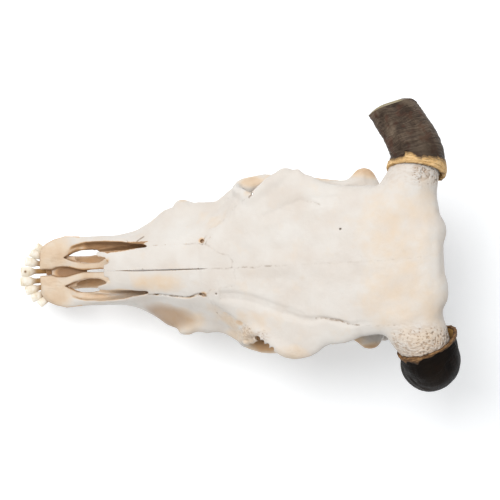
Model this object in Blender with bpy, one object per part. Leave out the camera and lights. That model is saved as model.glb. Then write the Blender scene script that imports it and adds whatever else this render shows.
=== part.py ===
"""Cow skull with its lower jaw, lying on the jaw as on a table, with two sawn-off horns.

The nose points to -X, the animal's right side to +Y and +Z is up. The tables below are in
millimetres, measured from the tips of the front teeth (x), the skull's own middle plane (y) and the
table (z), and the whole is moved to its box's middle at the end. Every bone is made of closed lofts
and plates, joined and hollowed by Booleans, fused by a voxel Remesh, thinned by Decimate, and parted
from its neighbours by thin cuts along the real sutures.
"""

import math

import bmesh
import bpy
import numpy as np
from mathutils import Matrix, Vector

# Driving dimensions, in metres
MM = 0.001
GAP = 0.3 * MM  # between two bones that touch
SKULL_GRAIN = 2.6 * MM  # voxel at which the skull's lofts are fused
JAW_GRAIN = 2.0 * MM
JAW_YAW = math.radians(0.6)  # the jaw lies a little to the animal's left
JAW_HINGE = (430, 0, 0)

# Triangles left in each shape before it is parted
SKULL_TRIANGLES = 6400
JAW_TRIANGLES = 1150
HORN_TRIANGLES = 380

# Materials: name, colour, roughness
BONE = ("cleaned_bone", (0.80, 0.74, 0.65, 1), 0.62)
SNOUT_BONE = ("snout_bone", (0.72, 0.60, 0.47, 1), 0.6)
JAW_BONE = ("jaw_bone", (0.78, 0.70, 0.58, 1), 0.58)
PALE_HORN = ("brown_horn", (0.11, 0.085, 0.07, 1), 0.5)
DARK_HORN = ("black_horn", (0.045, 0.036, 0.03, 1), 0.45)

# The forehead and poll. Columns: x, y, half width, lowest z, highest z, squareness
FOREHEAD = [
    (236, 0, 36, 172, 201, 2.4),
    (262, 0, 53, 182, 211, 2.5),
    (285, 0, 70, 194, 220, 2.7),
    (304, 0, 88, 209, 229, 2.8),
    (313, 0, 96.5, 214, 232, 2.8),
    (323, 0, 104.5, 218, 236, 2.9),
    (341, 0, 113, 222, 243, 3.0),
    (354, 0, 112.5, 225, 248, 3.0),
    (367, 0, 106, 228, 254, 3.0),
    (384, 0, 98, 230, 260, 3.0),
    (412, 0, 92, 233, 270, 3.0),
    (450, 0, 88, 237, 282, 3.0),
    (485, 0, 86, 240, 290, 2.9),
    (508, 0, 79, 246, 292, 2.8),
    (516, 0, 66, 252, 289, 2.6),
    (522, 0, 46, 262, 282, 2.4),
]
# The braincase, and before it the narrow wall between the eye sockets
BRAINCASE = [
    (288, 0, 34, 132, 214, 2.3),
    (322, 0, 25, 136, 236, 2.2),
    (350, 0, 33, 140, 246, 2.1),
    (385, 0, 47, 142, 258, 2.1),
    (430, 0, 55, 142, 270, 2.2),
    (470, 0, 60, 143, 278, 2.4),
    (500, 0, 58, 146, 280, 2.5),
    (512, 0, 50, 152, 276, 2.5),
]
# The face from the nose opening to the eyes. After x come seven y, z points of the right side: middle
# of the roof, nose bone's edge, upper cheek, cheek ridge, lower cheek, tooth line, middle of the palate
FACE = [
    (56, (0, 97), (30, 97), (40, 97), (44.5, 95), (45, 92), (42, 88), (0, 88)),
    (80, (0, 111), (30, 111), (38, 110), (44, 104), (44.2, 96), (40, 90), (0, 89)),
    (104, (0, 128), (30, 128), (37, 127), (43.4, 114), (44.4, 102), (40, 94), (0, 93)),
    (130, (0, 146), (30, 146), (37, 145), (43, 126), (45.5, 110), (42, 98), (0, 97)),
    (150, (0, 166), (29, 162), (38, 152), (46, 134), (50, 116), (45, 101), (0, 100)),
    (170, (0, 177), (29, 172), (42, 156), (56, 139), (60, 122), (52, 105), (0, 103)),
    (190, (0, 186), (31, 180), (49, 161), (71, 146), (71.5, 128), (57, 108), (0, 106)),
    (211, (0, 193), (34, 187), (56, 166), (79, 149), (74, 132), (60, 110), (0, 109)),
    (240, (0, 203), (39, 197), (60, 176), (77, 154), (74, 134), (64, 113), (0, 112)),
    (262, (0, 211), (46, 205), (65, 187), (79, 161), (75, 138), (67, 115), (0, 114)),
    (280, (0, 217), (56, 213), (77, 202), (90, 172), (78, 144), (67, 118), (0, 117)),
    (298, (0, 222), (64, 220), (84, 214), (88, 172), (68, 144), (56, 123), (0, 120)),
    (312, (0, 224), (60, 221), (70, 212), (62, 176), (50, 150), (38, 130), (0, 124)),
]
# The nose bones' free front part, a curved plate over the nose opening
NOSE_ROOF = [
    (101, 0, 24, 143, 151, 2.2),
    (112, 0, 25, 147, 156.5, 2.2),
    (135, 0, 26.5, 154, 166, 2.3),
    (165, 0, 28.5, 165, 178, 2.3),
    (206, 0, 30, 180, 192, 2.3),
]
# The notch in the tip of each nose bone, from above. Columns: x, y
NOSE_NOTCH = [(90, 18.5), (102, 18), (111, 16.5), (117, 12.5), (116, 9.5), (110, 7), (108, -1), (90, -1)]
NOTCH_LOW, NOTCH_HIGH = 135, 175
# The inside of the nose, open in front and above
NOSE_CAVITY = [
    (30, 0, 33, 99, 190, 2.8),
    (60, 0, 34, 99, 205, 3.0),
    (100, 0, 34, 101, 215, 3.0),
    (140, 0, 33, 106, 215, 2.8),
    (166, 0, 31, 111, 190, 2.6),
    (190, 0, 29, 116, 184, 2.5),
    (220, 0, 24, 122, 186, 2.4),
    (246, 0, 12, 132, 170, 2.2),
]
# The arched roof of the mouth, cut from below
PALATE_HOLLOW = [
    (88, 0, 24, 80, 93, 2.4),
    (150, 0, 30, 80, 104, 2.4),
    (200, 0, 35, 80, 114, 2.4),
    (300, 0, 40, 80, 121, 2.4),
    (322, 0, 44, 80, 124, 2.4),
]
# The back openings of the nose, above the end of the palate
INNER_NOSTRIL = [(286, 10, 136, 7, 9), (306, 10, 130, 8, 11), (340, 10, 124, 9, 15)]
# The back wall, from its foot upwards. Columns: z, half width, front x, back x
NAPE_WALL = [
    (148, 27, 478, 506),
    (166, 60, 470, 508),
    (180, 87, 462, 506),
    (191, 96, 458, 504),
    (202, 88, 460, 507),
    (216, 76, 463, 510),
    (232, 71, 466, 511),
    (254, 74, 468, 514),
    (276, 80, 474, 520),
]
# The right eye socket's rim, a closed ring. Columns: x, y, z
SOCKET_RIM = [
    (281, 91, 190),
    (283, 96.5, 174),
    (308, 103.5, 165),
    (335, 105, 172),
    (349, 105.5, 196),
    (349, 107.5, 220),
    (337, 107.5, 232),
    (323, 99, 229),
    (310, 88, 224),
    (299, 80, 218),
    (289, 85, 206),
]
SOCKET_RIM_RADIUS = 5.8
# Cheek ridge and cheekbone arch, from the face to the jaw joint. Columns: x, y, z, side and up radius
CHEEK_RIDGE = [
    (204, 74, 147, 6, 6),
    (230, 73, 151, 7.5, 7),
    (258, 74, 157, 8, 9),
    (270, 80, 160, 8.5, 10),
    (287, 92, 164, 8.5, 11),
    (312, 101, 167, 7, 10),
    (344, 102, 176, 6, 9),
    (370, 99.5, 182, 5, 10),
    (392, 98, 186, 5, 10),
    (414, 95, 189, 5.5, 10),
    (438, 98, 191, 8, 9),
]
# Jaw joint shelf, from the braincase outwards. Columns: y, centre x, half length, lowest z, highest z
JOINT_SHELF = [
    (40, 446, 30, 158, 212),
    (62, 443, 26, 176, 206),
    (88, 440, 20, 181, 202),
    (100, 439, 16, 181, 200),
    (106, 439, 13, 182, 199),
    (110, 439, 9.5, 184, 197.5),
    (112.5, 439, 5.5, 186.5, 195.5),
    (113.5, 439, 1, 190, 192),
]
EAR_TUBE = [(454, 50, 178, 11, 11), (465, 70, 186, 9, 9), (470, 84, 190, 9, 9)]
NECK_PROCESS = [(490, 46, 190, 12, 14), (484, 50, 160, 9, 12), (474, 46, 132, 6, 8), (470, 43, 114, 3, 4)]
# Bony horn cores. Columns: x, y, z, side and up radius
RIGHT_CORE = [
    (474, 32, 250, 36, 20),
    (480, 56, 260, 40, 25),
    (486, 80, 263, 35, 25.5),
    (492, 98, 263, 31, 25.5),
    (495, 110, 263, 29, 25),
    (496, 118, 263, 26, 22),
]
LEFT_CORE = [
    (475, -32, 250, 36, 20),
    (481, -56, 260, 40, 25),
    (488, -78, 262, 36, 25.5),
    (497, -97, 262, 32.5, 26.5),
    (501, -108, 260, 30, 26),
    (503, -115, 257, 27, 23),
]
# Eggs: centre, then half length, half width and half height
FACE_KNOB = ((213, 79, 148), (10, 6.5, 8))
POLL_KNOB = ((506, 34, 276), (20, 20, 15))
NECK_JOINT = ((508, 21, 160), (15, 13, 21))
EAR_BULLA = ((452, 35, 142), (18, 10, 20))
TOOTH_SWELLING = ((300, 46, 138), (26, 18, 22))
LIP_SWELLING = ((46, 23, 91.5), (24, 19, 9))
SOCKET_HOLLOW = ((324, 84, 196), (37, 52, 30))
NECK_HOLE = [(540, 0, 183, 17, 15), (515, 0, 182, 17, 15), (478, 0, 178, 13, 12)]
# The plate that hangs beside the inner nostril, from the side. Columns: x, z
WING_PLATE = [(296, 116), (300, 150), (372, 150), (366, 132), (350, 112), (334, 102), (318, 106)]
WING_Y, WING_THICKNESS = 21, 5
# The front upper bone, from above. Columns: x, y
LIP_PLATE = [
    (23, 4),
    (24, 12),
    (28, 21),
    (34, 33),
    (43, 41.5),
    (54, 45.5),
    (68, 43.5),
    (92, 41),
    (92, 27),
    (68, 27),
    (50, 20.5),
    (68, 13.5),
    (88, 9),
    (122, 8),
    (122, 1),
    (88, 0.8),
    (74, 2.5),
    (60, 6),
    (48, 5),
    (38, 3),
]
LIP_LOW, LIP_HIGH = 87, 98
# The slit through the floor of the nose beside its middle, from above
PALATE_SLIT = [(57, 16), (66, 24), (80, 26), (100, 24), (110, 17), (100, 11), (82, 9), (66, 14)]

# One side of the lower jaw, its long body. Columns: x, y, half width, lowest z, highest z, squareness
JAW_BODY = [
    (28, 9, 8.5, 70, 82, 2.4),
    (42, 12, 11.6, 55, 79, 2.5),
    (62, 12.5, 12.2, 41, 72, 2.6),
    (82, 13.6, 10.5, 33, 63, 2.7),
    (106, 19, 8.5, 26, 58, 2.8),
    (134, 27, 8, 17, 58, 2.8),
    (164, 36, 9, 8, 67, 2.8),
    (196, 42, 10.5, 1, 76, 2.9),
    (232, 47, 11.5, -2, 82, 3.0),
    (272, 52, 12, -2, 86, 3.0),
    (310, 57, 11, -2, 92, 3.0),
    (338, 61, 8, -1, 102, 3.0),
]
# Its upright branch from the side. Columns: x, z
JAW_BRANCH = [
    (312, -2),
    (314, 84),
    (330, 104),
    (344, 138),
    (355, 170),
    (366, 200),
    (379, 222),
    (392, 232),
    (400, 230),
    (398, 214),
    (396, 194),
    (402, 178),
    (414, 167),
    (436, 164),
    (434, 150),
    (427, 122),
    (430, 88),
    (438, 58),
    (436, 32),
    (424, 12),
    (404, 2),
    (372, -2),
]
BRANCH_THICKNESS = 8.5
JAW_HEAD = ((429, 81, 167), (9, 21, 9))
JAW_HEAD_NECK = [(424, 71, 138, 8, 5), (427, 76, 156, 8, 9), (429, 79, 166, 7, 13)]

# Cheek teeth. Columns: front x, back x, middle y, half width
UPPER_TEETH = [
    (170, 183, 44, 6.5),
    (184, 200, 48, 8),
    (201, 218, 51.5, 9.5),
    (219, 240, 54, 10.5),
    (241, 267, 56, 11),
    (268, 297, 56.5, 10.5),
]
LOWER_TEETH = [
    (169, 180, 39, 4.5),
    (181, 197, 42.5, 5.5),
    (198, 215, 45, 6.5),
    (216, 236, 48, 7.5),
    (237, 262, 51, 8),
    (263, 297, 53.5, 8),
]
BITE_Z = 95  # where upper and lower cheek teeth meet
UPPER_ROOT_Z, LOWER_ROOT_Z = 128, 56
# Front teeth of one side. Columns: tip x, tip y, root x, root y, half width
FRONT_TEETH = [
    (-4.6, 6.3, 40, 6, 6.1),
    (1.6, 19.8, 42, 10.5, 5.8),
    (9, 30.5, 43, 14, 5.4),
    (18.2, 38.5, 45, 17, 5.2),
]

# Horn sheaths, from the collar to the sawn end. Columns: x, y, z, side and up radius
RIGHT_HORN = [
    (496.5, 105, 263, 34.8, 31),
    (498.5, 116, 263, 33.8, 30.5),
    (497, 130, 265, 32.3, 29.5),
    (491.5, 144, 267.5, 30.7, 28.5),
    (480.5, 163, 271.5, 29, 27),
    (470.5, 178.5, 275, 28, 26.5),
    (459.5, 196, 278, 27.3, 26),
    (447, 214, 281, 26.5, 25.5),
]
LEFT_HORN = [
    (503.5, -101, 262, 36, 33),
    (507, -112, 259, 36.2, 34),
    (508.5, -121.5, 250, 36, 34.7),
    (508.5, -126.3, 234, 35.5, 34),
    (507, -128.5, 214, 34, 31.7),
    (503, -130, 195, 31, 29.8),
    (499, -130.5, 178, 28.5, 27),
]
# Where each horn was sawn off: a point, and the direction that leads out of the horn. The right one's
# front and rear corners are worn off too
RIGHT_SAW_CUTS = [
    ((470, 187.2, 279), (-19, 96, 16)),
    ((447, 179.5, 279), (-68, 73, 4)),
    ((494.5, 189.5, 270), (55, 83, 6)),
]
LEFT_SAW_CUTS = [((501, -128, 193), (-22, -4, -96))]
CORE_CLEARANCE = 2  # how far a sheath's socket stands off the bony core in it

# The nose bones from above. The right one's rear end is pointed and the left one's is square
NOSE_BONE_SIDE = [(90, 0), (90, 31), (150, 30.5), (168, 28.5), (205, 29.5)]
RIGHT_NOSE_BONE = [*NOSE_BONE_SIDE, (241, 29), (253, 19), (268, 13), (273, 6), (270, 0)]
LEFT_NOSE_BONE = [*NOSE_BONE_SIDE, (241, 32), (247, 27), (274, 24), (276, 12), (270, 0)]
NOSE_BONE_DEPTH = 13
ROOF_START, ROOF_RISE = (105, 150), 0.383  # the roof's front, and its slope

# Where bones part: a point, and the direction that leads into the bone behind
CHEEK_SEAM = ((262, 0, 212), (105, 0, 50))
LIP_SEAM = ((150, 0, 160), (60, 0, -52))
ARCH_SEAM = ((386, 0, 185), (60, 0, -28))
MIDDLE = ((0, 0, 0), (0, 1, 0))
CHEEKBONE_BOX = ((268, 82, 138), (430, 130, 206))

# No skull is even. Columns: x, and how far the sides of the skull lie off to the right there
LEAN = [
    (20, -0.8),
    (100, 0),
    (140, 0.6),
    (162, 1.4),
    (185, 1.8),
    (205, 1.2),
    (225, 0.3),
    (255, 0.3),
    (268, 2.2),
    (285, 3.4),
    (305, 2),
    (325, 2),
    (338, 2.4),
    (350, 0.4),
    (400, 0),
    (440, 2),
    (470, 0),
    (540, 0),
]
LEAN_START, LEAN_FULL = 30, 80  # the distance from the middle where it begins, and where it is whole


def clear_scene():
    for obj in list(bpy.data.objects):
        bpy.data.objects.remove(obj)


def add_object(name, mesh):
    obj = bpy.data.objects.new(name, mesh)
    bpy.context.scene.collection.objects.link(obj)
    return obj


def object_from(name, points, faces):
    """A mesh object from points in millimetres, with its faces turned outwards."""
    mesh = bpy.data.meshes.new(name)
    mesh.from_pydata([tuple(p) for p in np.asarray(points) * MM], [], faces)
    made = bmesh.new()
    made.from_mesh(mesh)
    bmesh.ops.recalc_face_normals(made, faces=made.faces)
    made.to_mesh(mesh)
    made.free()
    return add_object(name, mesh)


def smooth_rows(rows, place_columns, between):
    """The rows with more added between them, on a cubic that passes through them all."""
    rows = np.array(rows, float)
    steps = np.linalg.norm(np.diff(rows[:, :place_columns], axis=0), axis=1)
    along = np.concatenate([[0], np.cumsum(steps)])
    slopes = np.gradient(rows, along, axis=0)
    gaps = len(rows) - 1
    at = np.linspace(0, gaps, gaps * between + 1)
    low = np.minimum(at.astype(int), gaps - 1)
    part = (at - low)[:, None]
    width = (along[low + 1] - along[low])[:, None]
    start = (1 + 2 * part) * (1 - part) ** 2 * rows[low]
    end = part**2 * (3 - 2 * part) * rows[low + 1]
    leave = part * (1 - part) ** 2 * width * slopes[low]
    arrive = part**2 * (part - 1) * width * slopes[low + 1]
    return start + end + leave + arrive


def closed_curve(points, between):
    """A smooth closed loop through the points."""
    points = np.asarray(points)
    count = len(points)
    wrapped = np.vstack([points[-2:], points, points[:3]])
    return smooth_rows(wrapped, points.shape[1], between)[2 * between : (2 + count) * between]


def loft_through(name, rings):
    """A closed skin over rings of points, with a flat cap at each end."""
    count, sides = rings.shape[:2]
    corner = np.arange(sides)
    after = (corner + 1) % sides
    faces = [list(corner), list(corner[::-1] + (count - 1) * sides)]
    for ring in range(count - 1):
        low, high = ring * sides, (ring + 1) * sides
        faces += np.stack([low + corner, low + after, high + after, high + corner], 1).tolist()
    return object_from(name, rings.reshape(-1, 3), faces)


def unit_section(power, sides):
    """Points round a superellipse of half width and half height 1, a row for each power."""
    turn = np.linspace(0, 2 * math.pi, sides, endpoint=False)
    root = 2 / np.asarray(power, float)[:, None]
    across = np.sign(np.cos(turn)) * np.abs(np.cos(turn)) ** root
    upward = np.sign(np.sin(turn)) * np.abs(np.sin(turn)) ** root
    return across, upward


def loft_along_x(name, table, sides=32, between=5):
    """Sections that stand across X, from rows of x, y, half width, lowest z, highest z, squareness."""
    x, y, half, low, high, power = smooth_rows(table, 2, between).T
    across, upward = unit_section(power, sides)
    rings = np.stack(
        [
            np.broadcast_to(x[:, None], across.shape),
            y[:, None] + half[:, None] * across,
            (low + high)[:, None] / 2 + (high - low)[:, None] / 2 * upward,
        ],
        axis=2,
    )
    return loft_through(name, rings)


def loft_face(name, table, between=5):
    """Sections across X through points given for the right side and mirrored to the left."""
    flat = [[x] + [number for point in points for number in point] for x, *points in table]
    rings = []
    for row in smooth_rows(flat, 1, between):
        right = row[1:].reshape(-1, 2)
        left = right[-2:0:-1] * (-1, 1)
        loop = closed_curve(np.vstack([right, left]), 4)
        rings.append(np.column_stack([np.full(len(loop), row[0]), loop]))
    return loft_through(name, np.array(rings))


def loft_on_path(name, table, sides=24, between=5):
    """An elliptic tube, from rows of x, y, z, radius to the side and radius upwards."""
    rows = smooth_rows(table, 3, between)
    path, side_radius, up_radius = rows[:, :3], rows[:, 3], rows[:, 4]
    ahead = np.gradient(path, axis=0)
    ahead /= np.linalg.norm(ahead, axis=1)[:, None]
    side = np.cross(ahead, (0, 0, 1)) + np.array((0, 1e-3, 0))
    side /= np.linalg.norm(side, axis=1)[:, None]
    lift = np.cross(side, ahead)
    across, upward = unit_section(np.full(len(path), 2), sides)
    rings = (
        path[:, None]
        + side[:, None] * (across * side_radius[:, None])[:, :, None]
        + lift[:, None] * (upward * up_radius[:, None])[:, :, None]
    )
    return loft_through(name, rings)


def ring_tube(name, points, radius):
    """A tube bent into a closed ring: a bevelled curve turned into a mesh."""
    curve = bpy.data.curves.new(name, "CURVE")
    curve.dimensions = "3D"
    curve.bevel_depth = radius * MM
    curve.bevel_resolution = 3
    curve.resolution_u = 4
    spline = curve.splines.new("BEZIER")
    spline.bezier_points.add(len(points) - 1)
    for knot, point in zip(spline.bezier_points, points):
        knot.co = Vector(point) * MM
        knot.handle_left_type = knot.handle_right_type = "AUTO"
    spline.use_cyclic_u = True
    guide = add_object(name, curve)
    mesh = evaluated_mesh(guide)
    bpy.data.objects.remove(guide)
    return add_object(name, mesh)


def egg(name, centre, radii):
    """A sphere stretched to three half sizes."""
    mesh = bpy.data.meshes.new(name)
    made = bmesh.new()
    bmesh.ops.create_uvsphere(made, u_segments=28, v_segments=18, radius=MM)
    stretch = Matrix.Diagonal((*radii, 1))
    bmesh.ops.transform(made, matrix=Matrix.Translation(Vector(centre) * MM) @ stretch, verts=made.verts)
    made.to_mesh(mesh)
    made.free()
    return add_object(name, mesh)


def slab(name, outline, lift):
    """A flat outline made thick: lift gives a point's two faces from its two outline numbers."""
    count = len(outline)
    points = [lift(a, b, face) for face in (0, 1) for a, b in outline]
    faces = [list(range(count)), list(range(2 * count - 1, count - 1, -1))]
    faces += [[i, (i + 1) % count, count + (i + 1) % count, count + i] for i in range(count)]
    return object_from(name, points, faces)


def upright_slab(name, outline, y_at, thickness):
    """A plate that stands along X, its middle at y_at(x, z)."""
    return slab(name, outline, lambda x, z, face: (x, y_at(x, z) + (face - 0.5) * thickness, z))


def flat_slab(name, outline, low, high):
    """A plate that lies in X and Y between two heights, each a function of x."""
    return slab(name, outline, lambda x, y, face: (x, y, high(x) if face else low(x)))


def block(name, low, high):
    corners = [(low[0], low[1]), (high[0], low[1]), (high[0], high[1]), (low[0], high[1])]
    return flat_slab(name, corners, lambda x: low[2], lambda x: high[2])


def half_space(name, plane, side):
    """A big block that fills one side of a plane, kept half a gap away: side is 1 along its direction."""
    point, direction = Vector(plane[0]) * MM, Vector(plane[1]).normalized() * side
    reach = 900
    obj = block(name, (-reach, -reach, 0), (reach, reach, reach))
    turn = Vector((0, 0, 1)).rotation_difference(direction).to_matrix().to_4x4()
    obj.data.transform(Matrix.Translation(point - direction * GAP / 2) @ turn)
    return obj


def grown(outline, by):
    """The outline with each side moved outwards, for one that runs clockwise seen from above."""
    points = np.array(outline, float)
    ahead = np.roll(points, -1, axis=0) - points
    outwards = np.stack([-ahead[:, 1], ahead[:, 0]], 1) / np.linalg.norm(ahead, axis=1)[:, None]
    before = np.roll(outwards, 1, axis=0)
    corner = outwards + before
    corner *= (by / (0.5 * (corner**2).sum(axis=1)))[:, None]
    return (points + corner).tolist()


def mirrored(obj):
    """The same shape on the animal's other side."""
    copy = add_object(obj.name + "_left", obj.data.copy())
    copy.data.transform(Matrix.Diagonal((1, -1, 1, 1)))
    copy.data.flip_normals()
    return copy


def pair(obj):
    return [obj, mirrored(obj)]


def to_side(obj, side):
    """The object itself on the right, where side is 1, or its mirrored shape in its place."""
    if side > 0:
        return obj
    name, copy = obj.name, mirrored(obj)
    bpy.data.objects.remove(obj)
    copy.name = name
    return copy


def evaluated_mesh(obj):
    bpy.context.view_layer.update()
    graph = bpy.context.evaluated_depsgraph_get()
    return bpy.data.meshes.new_from_object(obj.evaluated_get(graph))


def bake_modifiers(obj):
    mesh = evaluated_mesh(obj)
    obj.modifiers.clear()
    obj.data = mesh
    return obj


def boolean(obj, others, operation):
    """Joins to obj, cuts from it or keeps what it shares with the others, which are then removed."""
    helpers = bpy.data.collections.new("helpers")
    bpy.context.scene.collection.children.link(helpers)
    for other in others:
        helpers.objects.link(other)
    modifier = obj.modifiers.new(operation, "BOOLEAN")
    modifier.operation = operation
    modifier.operand_type = "COLLECTION"
    modifier.collection = helpers
    modifier.solver = "MANIFOLD"
    bake_modifiers(obj)
    for other in others:
        bpy.data.objects.remove(other)
    bpy.data.collections.remove(helpers)
    return obj


def keep_largest(obj):
    """Drops every closed surface of the object but its largest."""
    made = bmesh.new()
    made.from_mesh(obj.data)
    seen, shells = set(), []
    for first in made.verts:
        if first in seen:
            continue
        shell, waiting = [], [first]
        seen.add(first)
        while waiting:
            vertex = waiting.pop()
            shell.append(vertex)
            for edge in vertex.link_edges:
                other = edge.other_vert(vertex)
                if other not in seen:
                    seen.add(other)
                    waiting.append(other)
        shells.append(shell)
    shells.sort(key=len)
    for shell in shells[:-1]:
        bmesh.ops.delete(made, geom=shell, context="VERTS")
    made.to_mesh(obj.data)
    made.free()
    return obj


def fuse(obj, grain, smoothing):
    """One voxel skin over the joined lofts, with its creases eased."""
    remesh = obj.modifiers.new("fuse", "REMESH")
    remesh.mode = "VOXEL"
    remesh.voxel_size = grain
    ease = obj.modifiers.new("ease", "SMOOTH")
    ease.factor = 0.5
    ease.iterations = smoothing
    return keep_largest(bake_modifiers(obj))


def thin(obj, triangles):
    """Brings the mesh down to about this many triangles."""
    made = bmesh.new()
    made.from_mesh(obj.data)
    bmesh.ops.triangulate(made, faces=made.faces)
    made.to_mesh(obj.data)
    made.free()
    decimate = obj.modifiers.new("thin", "DECIMATE")
    decimate.ratio = min(1.0, triangles / len(obj.data.polygons))
    return bake_modifiers(obj)


def bone_from(whole, name, keep, drop):
    """A bone: what the whole shares with the region to keep, less the regions to drop."""
    bone = add_object(name, whole.data.copy())
    if keep:
        boolean(bone, [keep], "INTERSECT")
    for region in drop:
        boolean(bone, [region], "DIFFERENCE")
    return keep_largest(bone)


def cheek_tooth(name, front, back, y, half, low, high, outward):
    """A cheek tooth: a block whose outer face has two pillars with a groove between them."""
    length = back - front
    crown = [
        (0.0, -0.8),
        (0.5, -1.0),
        (1.0, -0.8),
        (1.0, 0.75),
        (0.8, 1.0),
        (0.5, 0.72),
        (0.2, 1.0),
        (0.0, 0.75),
    ]
    outline = [(front + share * length, y + outward * across * half) for share, across in crown]
    return flat_slab(name, outline, lambda x: low, lambda x: high)


def front_tooth(name, tip_x, tip_y, root_x, root_y, half):
    """A shovel-shaped front tooth on a round neck that runs back and down into the jaw."""
    rows = [
        (0.0, 66, 3.2, 3.4),
        (0.5, 78, 3.3, 3.2),
        (0.64, 82, half * 0.78, 3.4),
        (0.8, 86.5, half, 2.8),
        (0.93, 89.5, half * 0.98, 1.9),
        (1.0, 91, half * 0.84, 1.0),
    ]
    table = [
        (root_x + (tip_x - root_x) * share, root_y + (tip_y - root_y) * share, z, side, thick)
        for share, z, side, thick in rows
    ]
    return loft_on_path(name, table, sides=8, between=1)


def leant(obj):
    """The object with its sides, but not its middle, moved a little to the right or left."""
    places, shifts = zip(*LEAN)
    for vertex in obj.data.vertices:
        x, y = vertex.co.x / MM, abs(vertex.co.y) / MM
        share = min(max((y - LEAN_START) / (LEAN_FULL - LEAN_START), 0), 1)
        vertex.co.y += float(np.interp(x, places, shifts)) * share * MM
    return obj


def whole_skull():
    """The upper skull in one piece, before its bones are parted."""
    whole = loft_along_x("whole_skull", FOREHEAD)
    nape = [((front + back) / 2, 0, z, half, (back - front) / 2) for z, half, front, back in NAPE_WALL]
    shelf = [(x, y, (low + high) / 2, half, (high - low) / 2) for y, x, half, low, high in JOINT_SHELF]
    masses = [
        loft_along_x("braincase", BRAINCASE),
        loft_face("face", FACE),
        loft_on_path("nape", nape),
        *pair(loft_on_path("joint_shelf", shelf)),
        *pair(loft_on_path("ear_tube", EAR_TUBE)),
        *pair(loft_on_path("neck_process", NECK_PROCESS)),
        *pair(egg("neck_joint", *NECK_JOINT)),
        *pair(egg("ear_bulla", *EAR_BULLA)),
        *pair(egg("poll_knob", *POLL_KNOB)),
        *pair(egg("tooth_swelling", *TOOTH_SWELLING)),
        *pair(upright_slab("wing_plate", WING_PLATE, lambda x, z: WING_Y, WING_THICKNESS)),
    ]
    boolean(whole, masses, "UNION")
    hollows = [
        loft_along_x("nose_cavity", NOSE_CAVITY),
        loft_along_x("palate_hollow", PALATE_HOLLOW),
        *pair(loft_on_path("inner_nostril", INNER_NOSTRIL)),
        *pair(egg("socket_hollow", *SOCKET_HOLLOW)),
        loft_on_path("neck_hole", NECK_HOLE),
    ]
    boolean(whole, hollows, "DIFFERENCE")
    lip = flat_slab("lip", LIP_PLATE, lambda x: LIP_LOW, lambda x: LIP_HIGH)
    slit = flat_slab("slit", PALATE_SLIT, lambda x: LIP_LOW - 20, lambda x: LIP_HIGH + 20)
    boolean(whole, pair(slit), "DIFFERENCE")
    later = [
        loft_along_x("nose_roof", NOSE_ROOF),
        *pair(lip),
        *pair(ring_tube("socket_rim", SOCKET_RIM, SOCKET_RIM_RADIUS)),
        *pair(loft_on_path("cheek_ridge", CHEEK_RIDGE)),
        *pair(egg("face_knob", *FACE_KNOB)),
        loft_on_path("right_core", RIGHT_CORE),
        *pair(egg("lip_swelling", *LIP_SWELLING)),
        loft_on_path("left_core", LEFT_CORE),
    ]
    boolean(whole, later, "UNION")
    notch = flat_slab("notch", NOSE_NOTCH, lambda x: NOTCH_LOW, lambda x: NOTCH_HIGH)
    boolean(whole, pair(notch), "DIFFERENCE")
    return leant(thin(fuse(whole, SKULL_GRAIN, smoothing=3), SKULL_TRIANGLES))


def roof_z(x):
    return ROOF_START[1] + ROOF_RISE * (x - ROOF_START[0])


def nose_bone_region(side, gap):
    """The space of one nose bone, or that space and the gap round it."""
    outline = RIGHT_NOSE_BONE if side > 0 else LEFT_NOSE_BONE
    corners = grown(outline, gap) if gap else outline
    if gap == 0:
        corners = [(x, max(y, GAP / MM / 2)) for x, y in corners]
    placed = [(x, y * side) for x, y in corners]
    low = NOSE_BONE_DEPTH + gap
    return flat_slab("nose_bone_region", placed, lambda x: roof_z(x) - low, lambda x: roof_z(x) + 60)


def cheekbone_region(side, gap):
    """The space of one cheekbone with its half of the arch, or that space and the gap round it."""
    low, high = CHEEKBONE_BOX
    region = block(
        "cheekbone_region",
        (low[0] - gap, low[1] - gap, low[2] - gap),
        (high[0] + gap, high[1] + gap, high[2] + gap),
    )
    point, direction = ARCH_SEAM
    shifted = ((point[0] + gap, point[1], point[2]), direction)
    boolean(region, [half_space("behind_arch", shifted, 1)], "DIFFERENCE")
    return to_side(region, side)


def upper_bones():
    """The upper skull parted along its sutures into nine bones."""
    whole = whole_skull()
    gap = GAP / MM
    cheekbones = [cheekbone_region(side, gap) for side in (1, -1)]
    bones = [bone_from(whole, "cranium", None, [half_space("ahead", CHEEK_SEAM, -1), *cheekbones])]
    for side, word in ((1, "right"), (-1, "left")):
        nose_bones = [nose_bone_region(s, gap) for s in (1, -1)]
        other_side = half_space("other_side", MIDDLE, -side)
        behind_lip = half_space("behind_lip", LIP_SEAM, 1)
        bones.append(bone_from(whole, f"premaxilla_{word}", None, [behind_lip, other_side, *nose_bones]))
        nose_bones = [nose_bone_region(s, gap) for s in (1, -1)]
        drop = [
            half_space("behind_cheek", CHEEK_SEAM, 1),
            half_space("ahead_lip", LIP_SEAM, -1),
            half_space("other_side", MIDDLE, -side),
            cheekbone_region(side, gap),
            *nose_bones,
        ]
        maxilla = bone_from(whole, f"maxilla_{word}", None, drop)
        bones.append(plant_cheek_teeth(maxilla, UPPER_TEETH, BITE_Z + gap / 2, UPPER_ROOT_Z, side))
        behind = half_space("behind_cheek", CHEEK_SEAM, 1)
        bones.append(bone_from(whole, f"nasal_{word}", nose_bone_region(side, 0), [behind]))
        bones.append(bone_from(whole, f"zygomatic_{word}", cheekbone_region(side, 0), []))
    bpy.data.objects.remove(whole)
    return bones


def plant_cheek_teeth(bone, table, low, high, side):
    """Fuses one side's row of cheek teeth into its bone."""
    teeth = []
    for front, back, y, half in table:
        teeth.append(cheek_tooth("tooth", front, back, y * side, half, low, high, side))
    return keep_largest(boolean(bone, teeth, "UNION"))


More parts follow.
